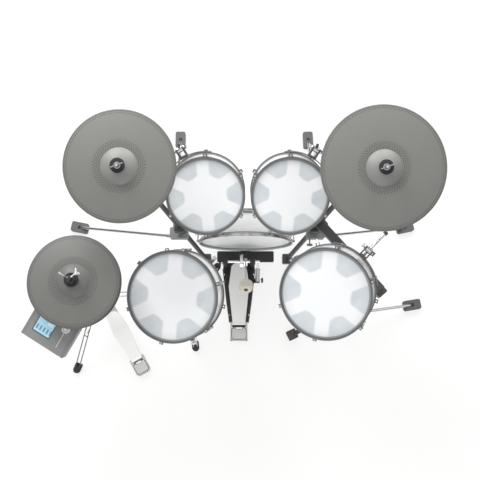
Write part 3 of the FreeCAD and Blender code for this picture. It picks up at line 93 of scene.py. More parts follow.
# The round gaps between the arms: their place, radius and soft edge, half an arm's width, and
# where the hoop's lip starts, all by parts of the head's radius
GAP_AT, GAP_ROUND, GAP_SOFT, ARM_HALF, LIP = 0.96, 0.40, 0.035, 0.165, 0.965
# How strongly painted shade, seen through a head, darkens the gaps between the arms
GAP_SHADE = 0.74

SMALL_HEAD, LARGE_HEAD, KICK_HEAD = 0.1524, 0.1778, 0.2032
# Each drum's head: its middle, the way it faces and its lean in degrees, its radius, and the turn
# of the arms under it
DRUMS = (
    ("snare", (-0.2665, -0.2823, 0.640), 225, 15, LARGE_HEAD, 24),
    ("left_tom", (-0.1365, 0.1227, 0.660), 270, 25, SMALL_HEAD, 35),
    ("right_tom", (0.2055, 0.1227, 0.660), 270, 25, SMALL_HEAD, 25),
    ("floor_tom", (0.3405, -0.2743, 0.665), 225, 22, LARGE_HEAD, 22),
)
KICK_AT = (0.0285, 0.0097, 0.230)

# Where each finish goes, apart from those made for one node
DRESSED = {
    "fitting": ("left_tom_bracket", "right_tom_bracket", "floor_tom_bracket"),
    "tube": ("stand_posts", "module_clamp"),
    "chrome": ("crash_tilter", "ride_tilter", "hihat_stand", "hihat_rod", "pedal_axle",
               "kick_spurs", "snare_basket"),
    "board": ("hihat_footboard", "pedal_footboard"),
    "heel": ("hihat_heel_plate", "pedal_heel_plate"),
    "black": ("pedal_base", "kick_plate"),
    "felt": ("pedal_beater",),
    "strap": ("pedal_band",),
    "wire": ("pedal_spring",),
    "knob": ("module_knob",),
}
DRUM_PARTS = (("shell", "shell"), ("hoops", "hoop"), ("lugs", "lug"), ("trigger", "carrier"))

# Heights where a tom arm's bar ends and its black tip starts
TOM_ARM = (0.425, 0.731)
# The same for the floor tom's arm, whose tip also starts at a reach of x + y
FLOOR_TOM_ARM = (0.480, 0.672, 0.535)
# Heights of the moulded feet under the chrome legs, and of the rubber under the thin legs
LEG_FOOT, THIN_FOOT = 0.0265, 0.0245
# Half the box that holds a stand's hub
HUB_HALF = 0.058

# Half of a tom fork's outer width, and the end of its hinge that has the wings
FORK_HALF, WING_SIDE = 0.0173, 1
# One ear of a wing nut, by parts of its span and height
WING_OUTLINE = ((0, 0), (0.35, 0.05), (0.75, 0.35), (1, 0.72), (0.96, 0.95), (0.8, 1), (0.5, 0.82),
                (0, 0.7))
WING_GAUGE = 0.0042
# Pairs of wings: the first one's turn in degrees, the root's distance from the axis, the span and
# the height
TILTER_WINGS, BOLT_WINGS = (20, 0.006, 0.018, 0.016), (60, 0.004, 0.020, 0.017)
# The clutch's wings: distance from the rod, and span, height and gauge
CLUTCH_WING_AT, CLUTCH_WING = (0.030, 0, 0), (0.014, 0.014, 0.004)
# From a nut's foot to its wings
TILTER_LIFT, BOLT_LIFT = (0, 0, 0.003), (0, 0, 0.001)

# Turned forms: corners by radius and height in mm
TILTER_STEM = ((0, -30), (4, -30), (4, 83), (3.2, 84.1), (0, 84.1))
TILTER_SEAT = ((0, -13.8), (24, -13.8), (26.8, -12), (26.2, -10.8), (7, -1.2), (5.6, -0.3),
               (0, -0.3))
TILTER_FELT = ((0, 0), (5.6, 0), (7.2, 1.2), (26.2, 12.6), (27, 14.2), (26.8, 16.6), (24.5, 18),
               (0, 18))
TILTER_NUT = ((0, 0), (11.5, 0), (12, 0.6), (12, 2), (9, 2.6), (8.7, 6), (6.6, 15), (5.8, 16),
              (0, 16))
TILTER_HINGE = ((3.1, 0), (12.5, 0), (14, 1.5), (14, 12.5), (12.5, 14), (3.1, 14))
BOLT_NUT = ((0, 0), (10.5, 0), (11, 0.6), (11, 2), (7.2, 2.6), (6.8, 5), (6, 5.8), (0, 5.8))
PULL_ROD = ((0, 120), (3.2, 120), (3.2, 1058.5), (2.2, 1060), (0, 1060))
CLUTCH_SEAT = ((0, -14.3), (16, -14.3), (18, -13.3), (15.5, -11), (7, -5.6), (0, -5.6))
CLUTCH_FELT = ((0, 0.3), (25.5, 0.3), (27, 2), (27, 10.5), (25.2, 12.6), (0, 12.6))
CLUTCH_BODY = ((0, 12.6), (15, 12.6), (16.5, 14), (16.5, 20), (15, 21.5), (9, 22.2), (9, 58.5),
               (7.8, 60), (0, 60))
CLUTCH_SCREW = ((0, 6), (3, 6), (3, 26), (6.2, 26.5), (6.6, 34), (5, 36), (0, 36))
BEATER_FELT = ((0, 0), (22, 0), (26.5, 1.5), (29.3, 5.5), (30, 11), (30, 31), (29.3, 36.5),
               (26.5, 40.5), (22, 42), (12.5, 42), (11.8, 40.5), (0, 40.5))
BEATER_COLLAR = ((0, 0), (8, 0), (9, 1), (9, 5), (0, 5))
RAIL_SCREW = ((0, 0), (3.4, 0), (3.4, 1.4), (2.6, 2.2), (1.2, 2.2), (1.2, 1.2), (0, 1.2))
BEARING_CAP = ((7.5, -12), (12.5, -12), (13.5, -11), (13.5, -2), (12.5, 0), (7.5, 0))
KNOB_RING = ((8.5, -0.4), (9.8, -0.4), (9.8, 0.5), (8.5, 0.5))
# Clearance between a felt and the bell under it
FELT_GAP = 0.0003
# How far the sleeve in a bore stands out on both sides, and its radius at a tilter and the clutch
SLEEVE_OUT, SLEEVE, CLUTCH_SLEEVE = 0.009, 0.0056, 0.0066
# The tilter's hinge in the cymbal's frame, and the clutch screw's height and turn
HINGE_AT, SCREW_UP, SCREW_TURN = (-0.007, 0, -0.030), 0.046, radians(40)
# Radius of plain pins, half the beater's felt, and the beater's collar past the felt's middle
PIN, FELT_HALF, COLLAR_UP = 0.004, 0.021, 0.0302

# One of the kick pedal's side rails and its screws, in mm from the pedal's middle and rear edge
RAIL = ((34.0, 88.0), (46.5, 84.0), (61.0, 190.0), (78.0, 338.0), (52.0, 338.0), (40.0, 190.0))
RAIL_SCREWS = ((46.5, 120.0), (69.5, 312.0))
RAIL_GAUGE, RAIL_BEVEL, RAIL_MIDDLE, RAIL_TOP = 0.014, 0.002, 0.0135, 0.0205
# Bearing caps from the pedal's middle, and the heights of the side knob and the spring's anchor
CAP_OUT, SIDE_KNOB_Z, ANCHOR_Z = 0.0752, 0.090, 0.013
# From the spring's near side to its axis
SPRING_HALF = 0.0095
# Star knobs: points in the outline, depth between lobes by parts of the radius, and gauge
STAR_STEPS, STAR_DIP, STAR_GAUGE = 40, 0.16, 0.009
# Both star knobs: the ends of the pin, the knob's middle along it, and the radius
ANCHOR_KNOB, SIDE_KNOB = (0, 0.008, 0.012, 0.0125), (-0.006, 0.004, 0.007, 0.0135)
# The way from the hi-hat's heel to its stand, as a turn about the upright
HIHAT_TURN = radians(29.0)
KICK_PAD, HIHAT_PAD = 0.072, 0.062
# Layers of a heel pad: share of its width and what is taken off, depth, corner radius, gauge,
# finish, place and bevel
PAD_LAYERS = ((1, 0, 0.056, 0.013, 0.0012, "black", 0.033, 0.0003, 0),
              (1, 0.005, 0.051, 0.011, 0.0024, "heel", 0.033, 0.0008, 0.0007),
              (0.5, 0, 0.012, 0.003, 0.0016, "black", 0.058, 0.0014, 0),
              (0.5, 0.004, 0.009, 0.002, 0.0016, "board", 0.058, 0.0022, 0.0005))
# Reach and turns, in degrees, of the hi-hat's and the snare stand's legs
HIHAT_FEET = (0.346, (248, 8, 128))
SNARE_FEET = (0.215, (277, 54, 150))
RUBBER_FOOT, FOOT_ROUND, FOOT_BACK, FOOT_Z = (0.040, 0.033, 0.026), 0.005, 0.014, 0.0132

# On the module: its face over its underside, the inner side of its cheeks, and the screen's middle
FACE_Z, CHEEK_AT, SCREEN_AT, SCREEN_HALF = 0.042, 0.082, (-0.026, 0.008), 0.0355
# The light bar's place on the face, its size and its bevel
LIGHT_BAR_AT, LIGHT_BAR = (0.052, -0.011, 0.0008), ((0.0022, 0.062, 0.0016), 0.0006)
# The middle of the knob's top over the face, and the pointer's place there, size and bevel
KNOB_AT = (0.053, 0.041, 0.0163)
POINTER_AT, POINTER = (0, 0.0085, 0.0002), ((0.0020, 0.0090, 0.0010), 0.0003)

FLOOR_HALF, FLOOR_WHITE = 60.0, 0.785
# The sky's light at the sides, what it gains overhead, and where and how softly it changes, for the
# scene and in reflections
SKY = ((0.21, 0.48, 0.45, 0.4), (0.10, 0.95, 0.36, 0.10))
LAMPS = (("key", (-1.7, 2.6, 3.2), 150.0), ("fill", (0.3, -3.4, 1.3), 40.0),
         ("back", (1.3, 3.2, 2.6), 100.0))
LAMP_SIZE, LAMP_AIM = 2.2, Vector((0.0, 0.0, 0.5))
CAMERA_AT, CAMERA_TILT = (0.0025, -0.6163, 3.930), atan2(142.0, 830.0)
SENSOR, LENS, FAR = 36.0, 62.25, 300.0


def made_by(kind, **fixed):
    """A short way to a property of some kind, by its name, description and default."""
    def short(name, words, default):
        return kind(name=name, description=words, default=default, **fixed)
    return short


colour = made_by(FloatVectorProperty, subtype="COLOR", size=3, min=0.0, max=1.0)
point = made_by(FloatVectorProperty, subtype="TRANSLATION", size=3)
length = made_by(FloatProperty, subtype="DISTANCE", unit="LENGTH")
angle = made_by(FloatProperty, subtype="ANGLE")


class KitColours(PropertyGroup):
    """Colours that a user would change."""
    rubber: colour("Cymbal rubber", "Playing surface of the cymbals", (0.172, 0.173, 0.163))
    rubber_bell: colour("Bell rubber", "Raised middle of the cymbals", (0.265, 0.266, 0.254))
    hoop: colour("Hoop", "Coat of the drum hoops", (0.118, 0.119, 0.119))
    shell: colour("Shell", "Wrap of the drum shells", (0.94, 0.94, 0.93))
    skin: colour("Head", "Woven playing heads over the carrier's arms", (0.925, 0.935, 0.945))
    # Painted shade that the heads show over the gaps between the arms and towards the hoop
    painted_shade: colour("Haze", "Woven heads over the gaps between the arms", (0.52, 0.57, 0.605))
    kick_hoop: colour("Kick hoop", "Coat of the kick's hoops", (0.55, 0.55, 0.545))
    carrier: colour("Carrier", "Arms seen through the heads", (0.90, 0.90, 0.90))
    tube: colour("Tube", "Coat of posts and arms", (0.052, 0.052, 0.054))
    fitting: colour("Fitting", "Hubs, feet and brackets", (0.072, 0.072, 0.072))
    chrome: colour("Chrome", "Plated bars and lugs", (0.68, 0.685, 0.69))
    board: colour("Foot board", "Bright foot boards", (0.87, 0.865, 0.85))
    heel: colour("Heel", "Grey heel plates", (0.565, 0.563, 0.553))
    black: colour("Black parts", "Black pedal frame, felts and screws", (0.018, 0.018, 0.019))
    felt: colour("Beater felt", "Pressed felt of the beater", (0.82, 0.77, 0.66))
    case: colour("Case", "Module case", (0.232, 0.236, 0.235))
    cheek: colour("Cheek", "Ends of the module case", (0.20, 0.203, 0.20))
    screen: colour("Screen", "Lit display", (0.31, 0.54, 0.67))
    floor: colour("Floor", "Studio floor", (0.93, 0.93, 0.925))


class KitSizes(PropertyGroup):
    """Sizes and places that the dressing uses, in the part's frame."""
    crash_at: point("Crash", "Middle of the crash's rim", (-0.4265, 0.1407, 1.060))
    ride_at: point("Ride", "Middle of the ride's rim", (0.5195, 0.1427, 1.030))
    hihat_at: point("Hi-hat", "Middle of the upper cymbal's rim", (-0.6285, -0.2403, 0.800))
    crash_radius: length("Crash radius", "Half the crash's diameter", 0.2032)
    ride_radius: length("Ride radius", "Half the ride's diameter", 0.2286)
    hihat_radius: length("Hi-hat radius", "Half the hi-hat's diameter", 0.1778)
    bell_radius: length("Bell radius", "Where the bell meets the bow", 0.066)
    hihat_bell: length("Hi-hat bell radius", "Where the hi-hat's bell meets its bow", 0.064)
    cymbal_lean: angle("Cymbal lean", "Lean of crash and ride towards the player", radians(11.0))
    pip: length("Pip", "Radius of the small dots in the rubber", 0.0025)
    module_at: point("Module", "Middle of the module's underside", (-0.7245, -0.4153, 0.680))
    module_turn: angle("Module turn", "Turn of the module about the upright", radians(-31.8))
    module_lean: angle("Module lean", "Lean of the module towards the player", radians(12.0))
    axle_at: point("Axle", "Beater's foot on the pedal axle", (0.0285, -0.0713, 0.152))
    beater_lean: angle("Beater lean", "Lean of the beater at rest", radians(42.0))
    beater_reach: length("Beater reach", "From the axle to the felt's middle", 0.192)
    west_hub: point("Left hub", "Middle of the left stand's hub", (-0.2665, 0.0287, 0.330))
    east_hub: point("Right hub", "Middle of the right stand's hub", (0.3355, 0.0287, 0.330))
    floor_hub: point("Floor tom hub", "Middle of the low stand's hub", (0.4010, -0.3220, 0.180))
    snare_stand_at: point("Snare stand", "Foot of the snare stand's tube", (-0.2308, -0.2466, 0.0))
    kick_heel: point("Kick heel", "Rear edge of the kick pedal's heel plate, on its top",
                     (-0.0025, -0.4253, 0.022))
    hihat_heel: point("Hi-hat heel", "Rear edge of the hi-hat pedal's heel plate, on its top",
                      (-0.4415, -0.5773, 0.022))

    def hubs(self):
        return self.west_hub, self.east_hub, self.floor_hub


def sizes():
    return bpy.context.scene.kit_sizes


def colours():
    return bpy.context.scene.kit_colours


def moved(x, y, z):
    return Matrix.Translation((x, y, z))


def spun(turn, axis):
    return Matrix.Rotation(turn, 4, axis)


def leaning(where, lean):
    """The frame of a piece that leans towards the player."""
    return moved(*where) @ spun(lean, "X")


def maths(operation, swapped=False):
    """A method that adds a maths node for its value and what it is given."""
    def method(self, *others):
        terms = (*others, self) if swapped else (self, *others)
        return self.paint.value("Math", {"operation": operation}, dict(enumerate(terms)))
    return method


class Value:
    """A number or colour in a material, with arithmetic that adds nodes."""

    def __init__(self, paint, socket):
        self.paint, self.socket = paint, socket

    __add__ = __radd__ = maths("ADD")
    __sub__, __rsub__ = maths("SUBTRACT"), maths("SUBTRACT", swapped=True)
    __mul__ = __rmul__ = maths("MULTIPLY")
    __pow__, __abs__ = maths("POWER"), maths("ABSOLUTE")
    low, high, wave = maths("MINIMUM"), maths("MAXIMUM"), maths("SINE")

    def above(self, edge, soft=0.0005):
        """0 below an edge and 1 above it, with a soft step."""
        return self.paint.value("MapRange", {"interpolation_type": "SMOOTHSTEP"}, {
            "Value": self, "From Min": edge - soft, "From Max": edge + soft})

    def between(self, low, high, soft=0.0005):
        return self.above(low, soft) * (1.0 - self.above(high, soft))


class Paint:
    """One material and its nodes, in the frame of a leaning or turned piece where one is given."""

    def __init__(self, name, matrix=None):
        self.material = bpy.data.materials.new(name)
        self.material.use_nodes = True
        self.tree = self.material.node_tree
        self.shader = next(n for n in self.tree.nodes if n.type == "BSDF_PRINCIPLED")
        self.output = next(n for n in self.tree.nodes if n.type == "OUTPUT_MATERIAL")
        self.here = self.value("TexCoord", out="Object")
        if matrix is not None:
            back = matrix.inverted()
            self.here = self.mapped(Location=back.to_translation(), Rotation=back.to_euler())

    def add(self, kind, settings=None, inputs=None):
        """A shader node of some kind, with its settings and then what its sockets take."""
        node = self.tree.nodes.new("ShaderNode" + kind)
        for key, setting in (settings or {}).items():
            setattr(node, key, setting)
        for key, given in (inputs or {}).items():
            self.feed(node.inputs[key], given)
        return node

    def value(self, kind, settings=None, inputs=None, out=0):
        """What a new node gives at one of its outputs."""
        return Value(self, self.add(kind, settings, inputs).outputs[out])

    def feed(self, socket, given):
        if isinstance(given, Value):
            self.tree.links.new(given.socket, socket)
        else:
            socket.default_value = given

    def mapped(self, **inputs):
        return self.value("Mapping", {"vector_type": "POINT"},
                          {"Vector": self.here, **inputs})

    def split(self, vector=None):
        node = self.add("SeparateXYZ", None, {0: vector or self.here})
        return [Value(self, out) for out in node.outputs]

    def rays(self, *kinds):
        """Whether the ray that is followed is of each kind."""
        outputs = self.add("LightPath").outputs
        return [Value(self, outputs["Is %s Ray" % kind]) for kind in kinds]

    def polar(self):
        """X, Y and the distance from the Z axis."""
        x, y, _ = self.split()
        return x, y, (x * x + y * y) ** 0.5

    def noise(self, scale, detail=3.0, rough=0.5, vector=None):
        return self.value("TexNoise", None, {
            "Vector": vector or self.here, "Scale": scale, "Detail": detail, "Roughness": rough})

    def streaks(self, scale, detail=3.0, rough=0.5):
        """Noise with a scale of its own along each axis."""
        return self.noise(1.0, detail, rough, self.mapped(Scale=scale))

    def blend(self, share, first, second):
        """A colour between two colours."""
        return self.value("Mix", {"data_type": "RGBA"},
                          {0: share, 6: solid(first), 7: solid(second)}, out=2)

    def layers(self, base, *coats):
        """A colour with others laid over it, each by its share."""
        for share, rgb in coats:
            base = self.blend(share, base, rgb)
        return base

    def smears(self, rgb, scale=35.0, share=0.35):
        """Fingerprints, and a plated colour that they dull."""
        smear = self.noise(scale, 5.0, 0.6)
        return smear, self.blend(smear * share, rgb, shade(rgb, 0.82))

    def part_plated(self, bare, dull, grain, rough, gain, strength, smears=(35.0, 0.35, 0.12)):
        """Chrome with a duller and rougher finish where it is bare."""
        smear, bright = self.smears(colours().chrome, *smears[:2])
        return self.finish(self.blend(bare, bright, dull), Metallic=1.0 - bare,
                           Roughness=rough + smear * smears[2] + bare * gain,
                           relief=(grain * bare, strength, 0.0003))

    def finish(self, base, relief=None, **given):
        """The material, with a base colour, a relief of height, strength and distance, and more."""
        given["Base_Color"] = base
        if relief:
            given["Normal"] = self.value("Bump", None, dict(zip(
                ("Height", "Strength", "Distance"), relief)))
        for key, value in given.items():
            self.feed(self.shader.inputs[key.replace("_", " ")], value)
        return self.material


def solid(rgb):
    return rgb if isinstance(rgb, Value) else (rgb[0], rgb[1], rgb[2], 1.0)


def shade(rgb, factor):
    return tuple(min(1.0, c * factor) for c in rgb)


def cymbal_rubber(name, matrix, radius, bell, tone=1.0, bell_share=0.8):
    """Rubber with lathe rings, painted shade round the bell, a darker rim, and a bell that may be
    lighter.
    """
    paint = Paint(name, matrix)
    _, _, reach = paint.polar()
    cloud = paint.noise(9.0, 4.0)
    grain = paint.noise(1400.0, 2.0)
    wear = paint.noise(60.0, 5.0, 0.65)
    on_bow = reach.above(bell, CYMBAL_SOFT)
    # Painted shade in a ring round the bell
    collar = on_bow * (1.0 - reach.above(bell + BELL_SHADE_RING, BELL_SHADE_RING / 2))
    rim = reach.above(radius - DARK_RIM, CYMBAL_SOFT)
    rubber = shade(colours().rubber, tone)
    base = paint.layers(
        rubber, (cloud * 0.35, shade(rubber, 1.3)),
        ((1.0 - on_bow) * bell_share, shade(colours().rubber_bell, tone)),
        # Random darker wear, and the ring of painted shade round the bell
        (wear * 0.10, shade(rubber, 0.6)), (collar * 0.16, shade(rubber, 0.6)),
        (rim * 0.35, shade(rubber, 0.55)))
    height = (reach * LATHE).wave() * 0.35 + grain * 0.8
    return paint.finish(base, Roughness=0.40 + cloud * 0.14, Specular_IOR_Level=0.5,
                        relief=(height, 0.18, 0.0004))


def mottled(name, dark, light, noise, rough, gain, metal=0.0):
    """A finish that varies finely between two colours, and with them in roughness."""
    paint = Paint(name)
    grain = paint.noise(*noise)
    return paint.finish(paint.blend(grain, dark, light), Roughness=rough + grain * gain,
                        Metallic=metal)


def head_skin(name, matrix, radius, turn, painted_shade):
    """Woven skin, bright over the carrier's arms, with painted shade over the gaps and rim, in the
    hoop's lip.
    """
    paint = Paint(name, matrix)
    x, y, reach = paint.polar()
    gaps = []
    for aim in (turn + ARM_STEP * (gap + 0.5) for gap in range(6)):
        along = x - GAP_AT * radius * cos(aim)
        aside = y - GAP_AT * radius * sin(aim)
        gaps.append((along * along + aside * aside) ** 0.5)
    over = reduce(Value.low, gaps).above(radius * GAP_ROUND, radius * GAP_SOFT)
    for aim in (turn + ARM_STEP * axis for axis in range(3)):
        aside = abs(x * sin(aim) - y * cos(aim))
        over = over.high(1.0 - aside.above(radius * ARM_HALF, radius * GAP_SOFT))
    weave = ((x * WEAVE).wave() * (y * WEAVE).wave()) * 0.5 + 0.5
    cloud = paint.noise(14.0, 3.0)
    c = colours()
    base = paint.layers(
        c.skin, (cloud * 0.35, shade(c.skin, 0.94)),
        # Painted shade seen through the head over the gaps between the carrier's arms
        ((1.0 - over) * (painted_shade * (0.45 + cloud * 0.9)), c.painted_shade),
        # Painted shade towards the rim and next to the hoop
        (reach.above(radius * 0.88, radius * 0.16) * 0.24, c.painted_shade),
        (reach.above(radius * LIP, radius * 0.05) * 0.5, shade(c.painted_shade, 0.75)),
        (reach.above(radius * LIP, radius * 0.006) * 0.8, shade(c.hoop, 2.2)))
    return paint.finish(base, Roughness=0.40 + weave * 0.14, Alpha=0.95 + weave * 0.04,
                        relief=(weave, 0.12, 0.0002))


def shell_wrap():
    """Gloss white wrap with a faint sparkle."""
    paint = Paint("shell_wrap")
    fleck = paint.noise(900.0, 2.0).above(0.62, 0.05)
    cloud = paint.noise(7.0, 2.0)
    shell = colours().shell
    base = paint.layers(shell, (cloud * 0.3, shade(shell, 0.93)), (fleck * 0.25, WHITE))
    return paint.finish(base, Roughness=0.22 + cloud * 0.08, Coat_Weight=0.5,
                        relief=(cloud, 0.03, 0.001))


def coat(name, rgb, rough, speckle=0.25, metal=0.0):
    """A satin coat over metal or moulded plastic, with a fine speckle and soft handling marks."""
    paint = Paint(name)
    grain = paint.noise(700.0, 2.0)
    marks = paint.noise(22.0, 6.0, 0.6)
    rubbed = marks.above(0.62, 0.06)
    base = paint.layers(rgb, (grain * speckle, shade(rgb, 1.5)), (rubbed * 0.2, shade(rgb, 1.25)))
    return paint.finish(base, Roughness=rough + marks * 0.16, Metallic=metal,
                        relief=(grain, 0.10, 0.0003))


def plated(name, rgb, rough=0.10):
    """Chrome plate with faint polishing marks and fingerprints."""
    paint = Paint(name)
    polish = paint.streaks((40.0, 40.0, 900.0))
    smear, base = paint.smears(rgb)
    return paint.finish(base, Metallic=1.0, Roughness=rough + smear * 0.12,
                        relief=(polish, 0.03, 0.0002))


def cast(name, rgb, rough=0.36, metal=0.05):
    """Bright cast metal, brushed along the board, with painted shade on its sides."""
    paint = Paint(name)
    brushed = paint.streaks((1300.0, 60.0, 1300.0))
    cloud = paint.noise(16.0, 4.0)
    # Painted shade: faces that are not level are darkened, as sides in shadow
    facing = paint.split(paint.value("NewGeometry", out="Normal"))[2]
    level = abs(facing).above(0.6, 0.2)
    top = paint.layers(rgb, (brushed * 0.3, shade(rgb, 0.86)), (cloud * 0.25, shade(rgb, 1.08)))
    # Painted shade on the sides, the brushed top elsewhere
    return paint.finish(paint.blend(level, shade(rgb, 0.14), top), Metallic=metal,
                        Roughness=rough + cloud * 0.14, relief=(brushed, 0.06, 0.0003))


def felt(name, rgb):
    """Pressed felt with loose fibres."""
    paint = Paint(name)
    fibre = paint.streaks((700.0, 1500.0, 900.0), 5.0, 0.7)
    matted = paint.noise(120.0, 5.0, 0.7)
    base = paint.layers(shade(rgb, 0.78), (fibre, shade(rgb, 1.12)),
                        (matted * 0.35, shade(rgb, 0.85)))
    return paint.finish(base, Roughness=0.95, relief=(fibre + matted, 0.5, 0.0008))


def strap_weave():
    """Black woven strap."""
    paint = Paint("strap_weave")
    x, _, z = paint.split()
    weave = (x * STRAP).wave() * (z * STRAP).wave() * 0.5 + 0.5
    base = paint.blend(weave, shade(colours().black, 0.8), shade(colours().black, 3.0))
    return paint.finish(base, Roughness=0.8, relief=(weave, 0.5, 0.0005))


def module_plastic(matrix):
    """Grained case plastic, a little darker on the two end cheeks."""
    paint = Paint("module_plastic", matrix)
    grain = paint.noise(1500.0, 2.0)
    cloud = paint.noise(30.0, 4.0)
    cheek = abs(paint.split()[0]).above(CHEEK_AT, 0.0003)
    case = colours().case
    base = paint.layers(case, (cheek, colours().cheek), (grain * 0.25, shade(case, 1.6)))
    return paint.finish(base, Roughness=0.5 + cloud * 0.12, relief=(grain, 0.2, 0.0003))


def lit_screen(matrix):
    """A lit display with plain level bars, a block and a dark rim."""
    paint = Paint("lit_screen", matrix)
    x, y, _ = paint.split()
    across, up = x - SCREEN_AT[0], y - SCREEN_AT[1]
    cells = (across * 420.0).wave().above(0.0, 0.2)
    level = paint.streaks((66.0, 0.0, 0.0), 0.0) * 0.05 - 0.022
    bars = cells * up.between(-0.026, -0.006, CRISP) * (1.0 - (up - level).above(0.0))
    block = across.between(0.006, 0.03) * up.between(0.006, 0.024)
    rim = abs(across).high(abs(up)).above(SCREEN_HALF, CRISP)
    glow = paint.layers(colours().screen, (bars * 0.75, (0.05, 0.12, 0.18)),
                        (block * 0.35, (0.85, 0.95, 1.0)), (rim, (0.02, 0.03, 0.035)))
    return paint.finish(glow, Emission_Color=glow, Emission_Strength=0.35,
                        Roughness=0.16, Coat_Weight=0.6)


def moulded(name, rgb, rough):
    """Moulded plastic with a fine grain."""
    paint = Paint(name)
    grain = paint.noise(1200.0, 2.0)
    cloud = paint.noise(40.0, 3.0)
    return paint.finish(paint.blend(cloud * 0.4, rgb, shade(rgb, 0.9)),
                        Roughness=rough + cloud * 0.1, relief=(grain, 0.10, 0.0002))


def leg_plate(hubs):
    """Chrome legs whose hubs and feet are grey mouldings."""
    paint = Paint("leg_plate")
    x, y, z = paint.split()
    hub = reduce(Value.high, [
        1.0 - abs(x - at[0]).high(abs(y - at[1])).high(abs(z - at[2])).above(HUB_HALF)
        for at in hubs])
    bare = hub.high(1.0 - z.above(LEG_FOOT, CRISP))
    grain = paint.noise(800.0, 2.0)
    fitting = colours().fitting
    dull = paint.layers(fitting, (hub, shade(fitting, 3.0)), (grain * 0.2, shade(fitting, 2.0)))
    return paint.part_plated(bare, dull, grain, 0.12, 0.35, 0.15, (30.0, 0.3, 0.1))


def tipped_arm(name, bar, tip, out=-9.0):
    """A chrome rod from a dark bar up to a black tip, which may also start at a reach of x + y."""
    paint = Paint(name)
    x, y, z = paint.split()
    end = z.above(tip, CRISP) * (x + y).above(out, CRISP)
    bare = 1.0 - z.above(bar, CRISP) * (1.0 - end)
    grain = paint.noise(900.0, 2.0)
    tube = colours().tube
    dark = paint.layers(tube, (end, colours().black), (grain * 0.25, shade(tube, 1.5)))
    return paint.part_plated(bare, dark, grain, 0.12, 0.22, 0.1)


def footed_chrome(name, foot):
    """Chrome legs on black rubber feet of some height."""
    paint = Paint(name)
    bare = 1.0 - paint.split()[2].above(foot, CRISP)
    grain = paint.noise(900.0, 2.0)
    dull = paint.blend(grain * 0.4, colours().black, shade(colours().black, 2.2))
    return paint.part_plated(bare, dull, grain, 0.10, 0.5, 0.2)


def floor_paper():
    paint = Paint("floor_paper")
    fibre = paint.noise(300.0, 3.0)
    base = paint.blend(fibre * 0.06, colours().floor, shade(colours().floor, 0.97))
    paint.finish(base, Roughness=0.9, Specular_IOR_Level=0.1)
    camera, glossy, through = paint.rays("Camera", "Glossy", "Transmission")
    white = paint.value("Emission", None, {"Color": (1.0, 1.0, 0.995, 1.0)})
    lit = paint.value("MixShader", None, {
        0: (camera + glossy + through).low(1.0) * FLOOR_WHITE,
        1: Value(paint, paint.shader.outputs[0]), 2: white})
    paint.feed(paint.output.inputs["Surface"], lit)
    return paint.material


class Sky(Paint):
    """The studio's light, brighter overhead than at the sides, and more so in reflections."""

    def __init__(self, scene):
        world = bpy.data.worlds.new("studio")
        scene.world = world
        world.use_nodes = True
        self.tree = world.node_tree
        z = self.split(self.value("TexCoord", out="Generated"))[2]
        seen, mirrored = self.rays("Camera", "Glossy")
        soft, crisp = [z.above(edge, blur) * gain + side for side, gain, edge, blur in SKY]
        background = next(n for n in self.tree.nodes if n.type == "BACKGROUND")
        self.feed(background.inputs["Color"], solid(WHITE))
        self.feed(background.inputs["Strength"], seen.high(soft + (crisp - soft) * mirrored))


def soften(form, edges, bevel, steps):
    bmesh.ops.bevel(form, geom=edges, offset=bevel, segments=steps, affect="EDGES", profile=0.5)


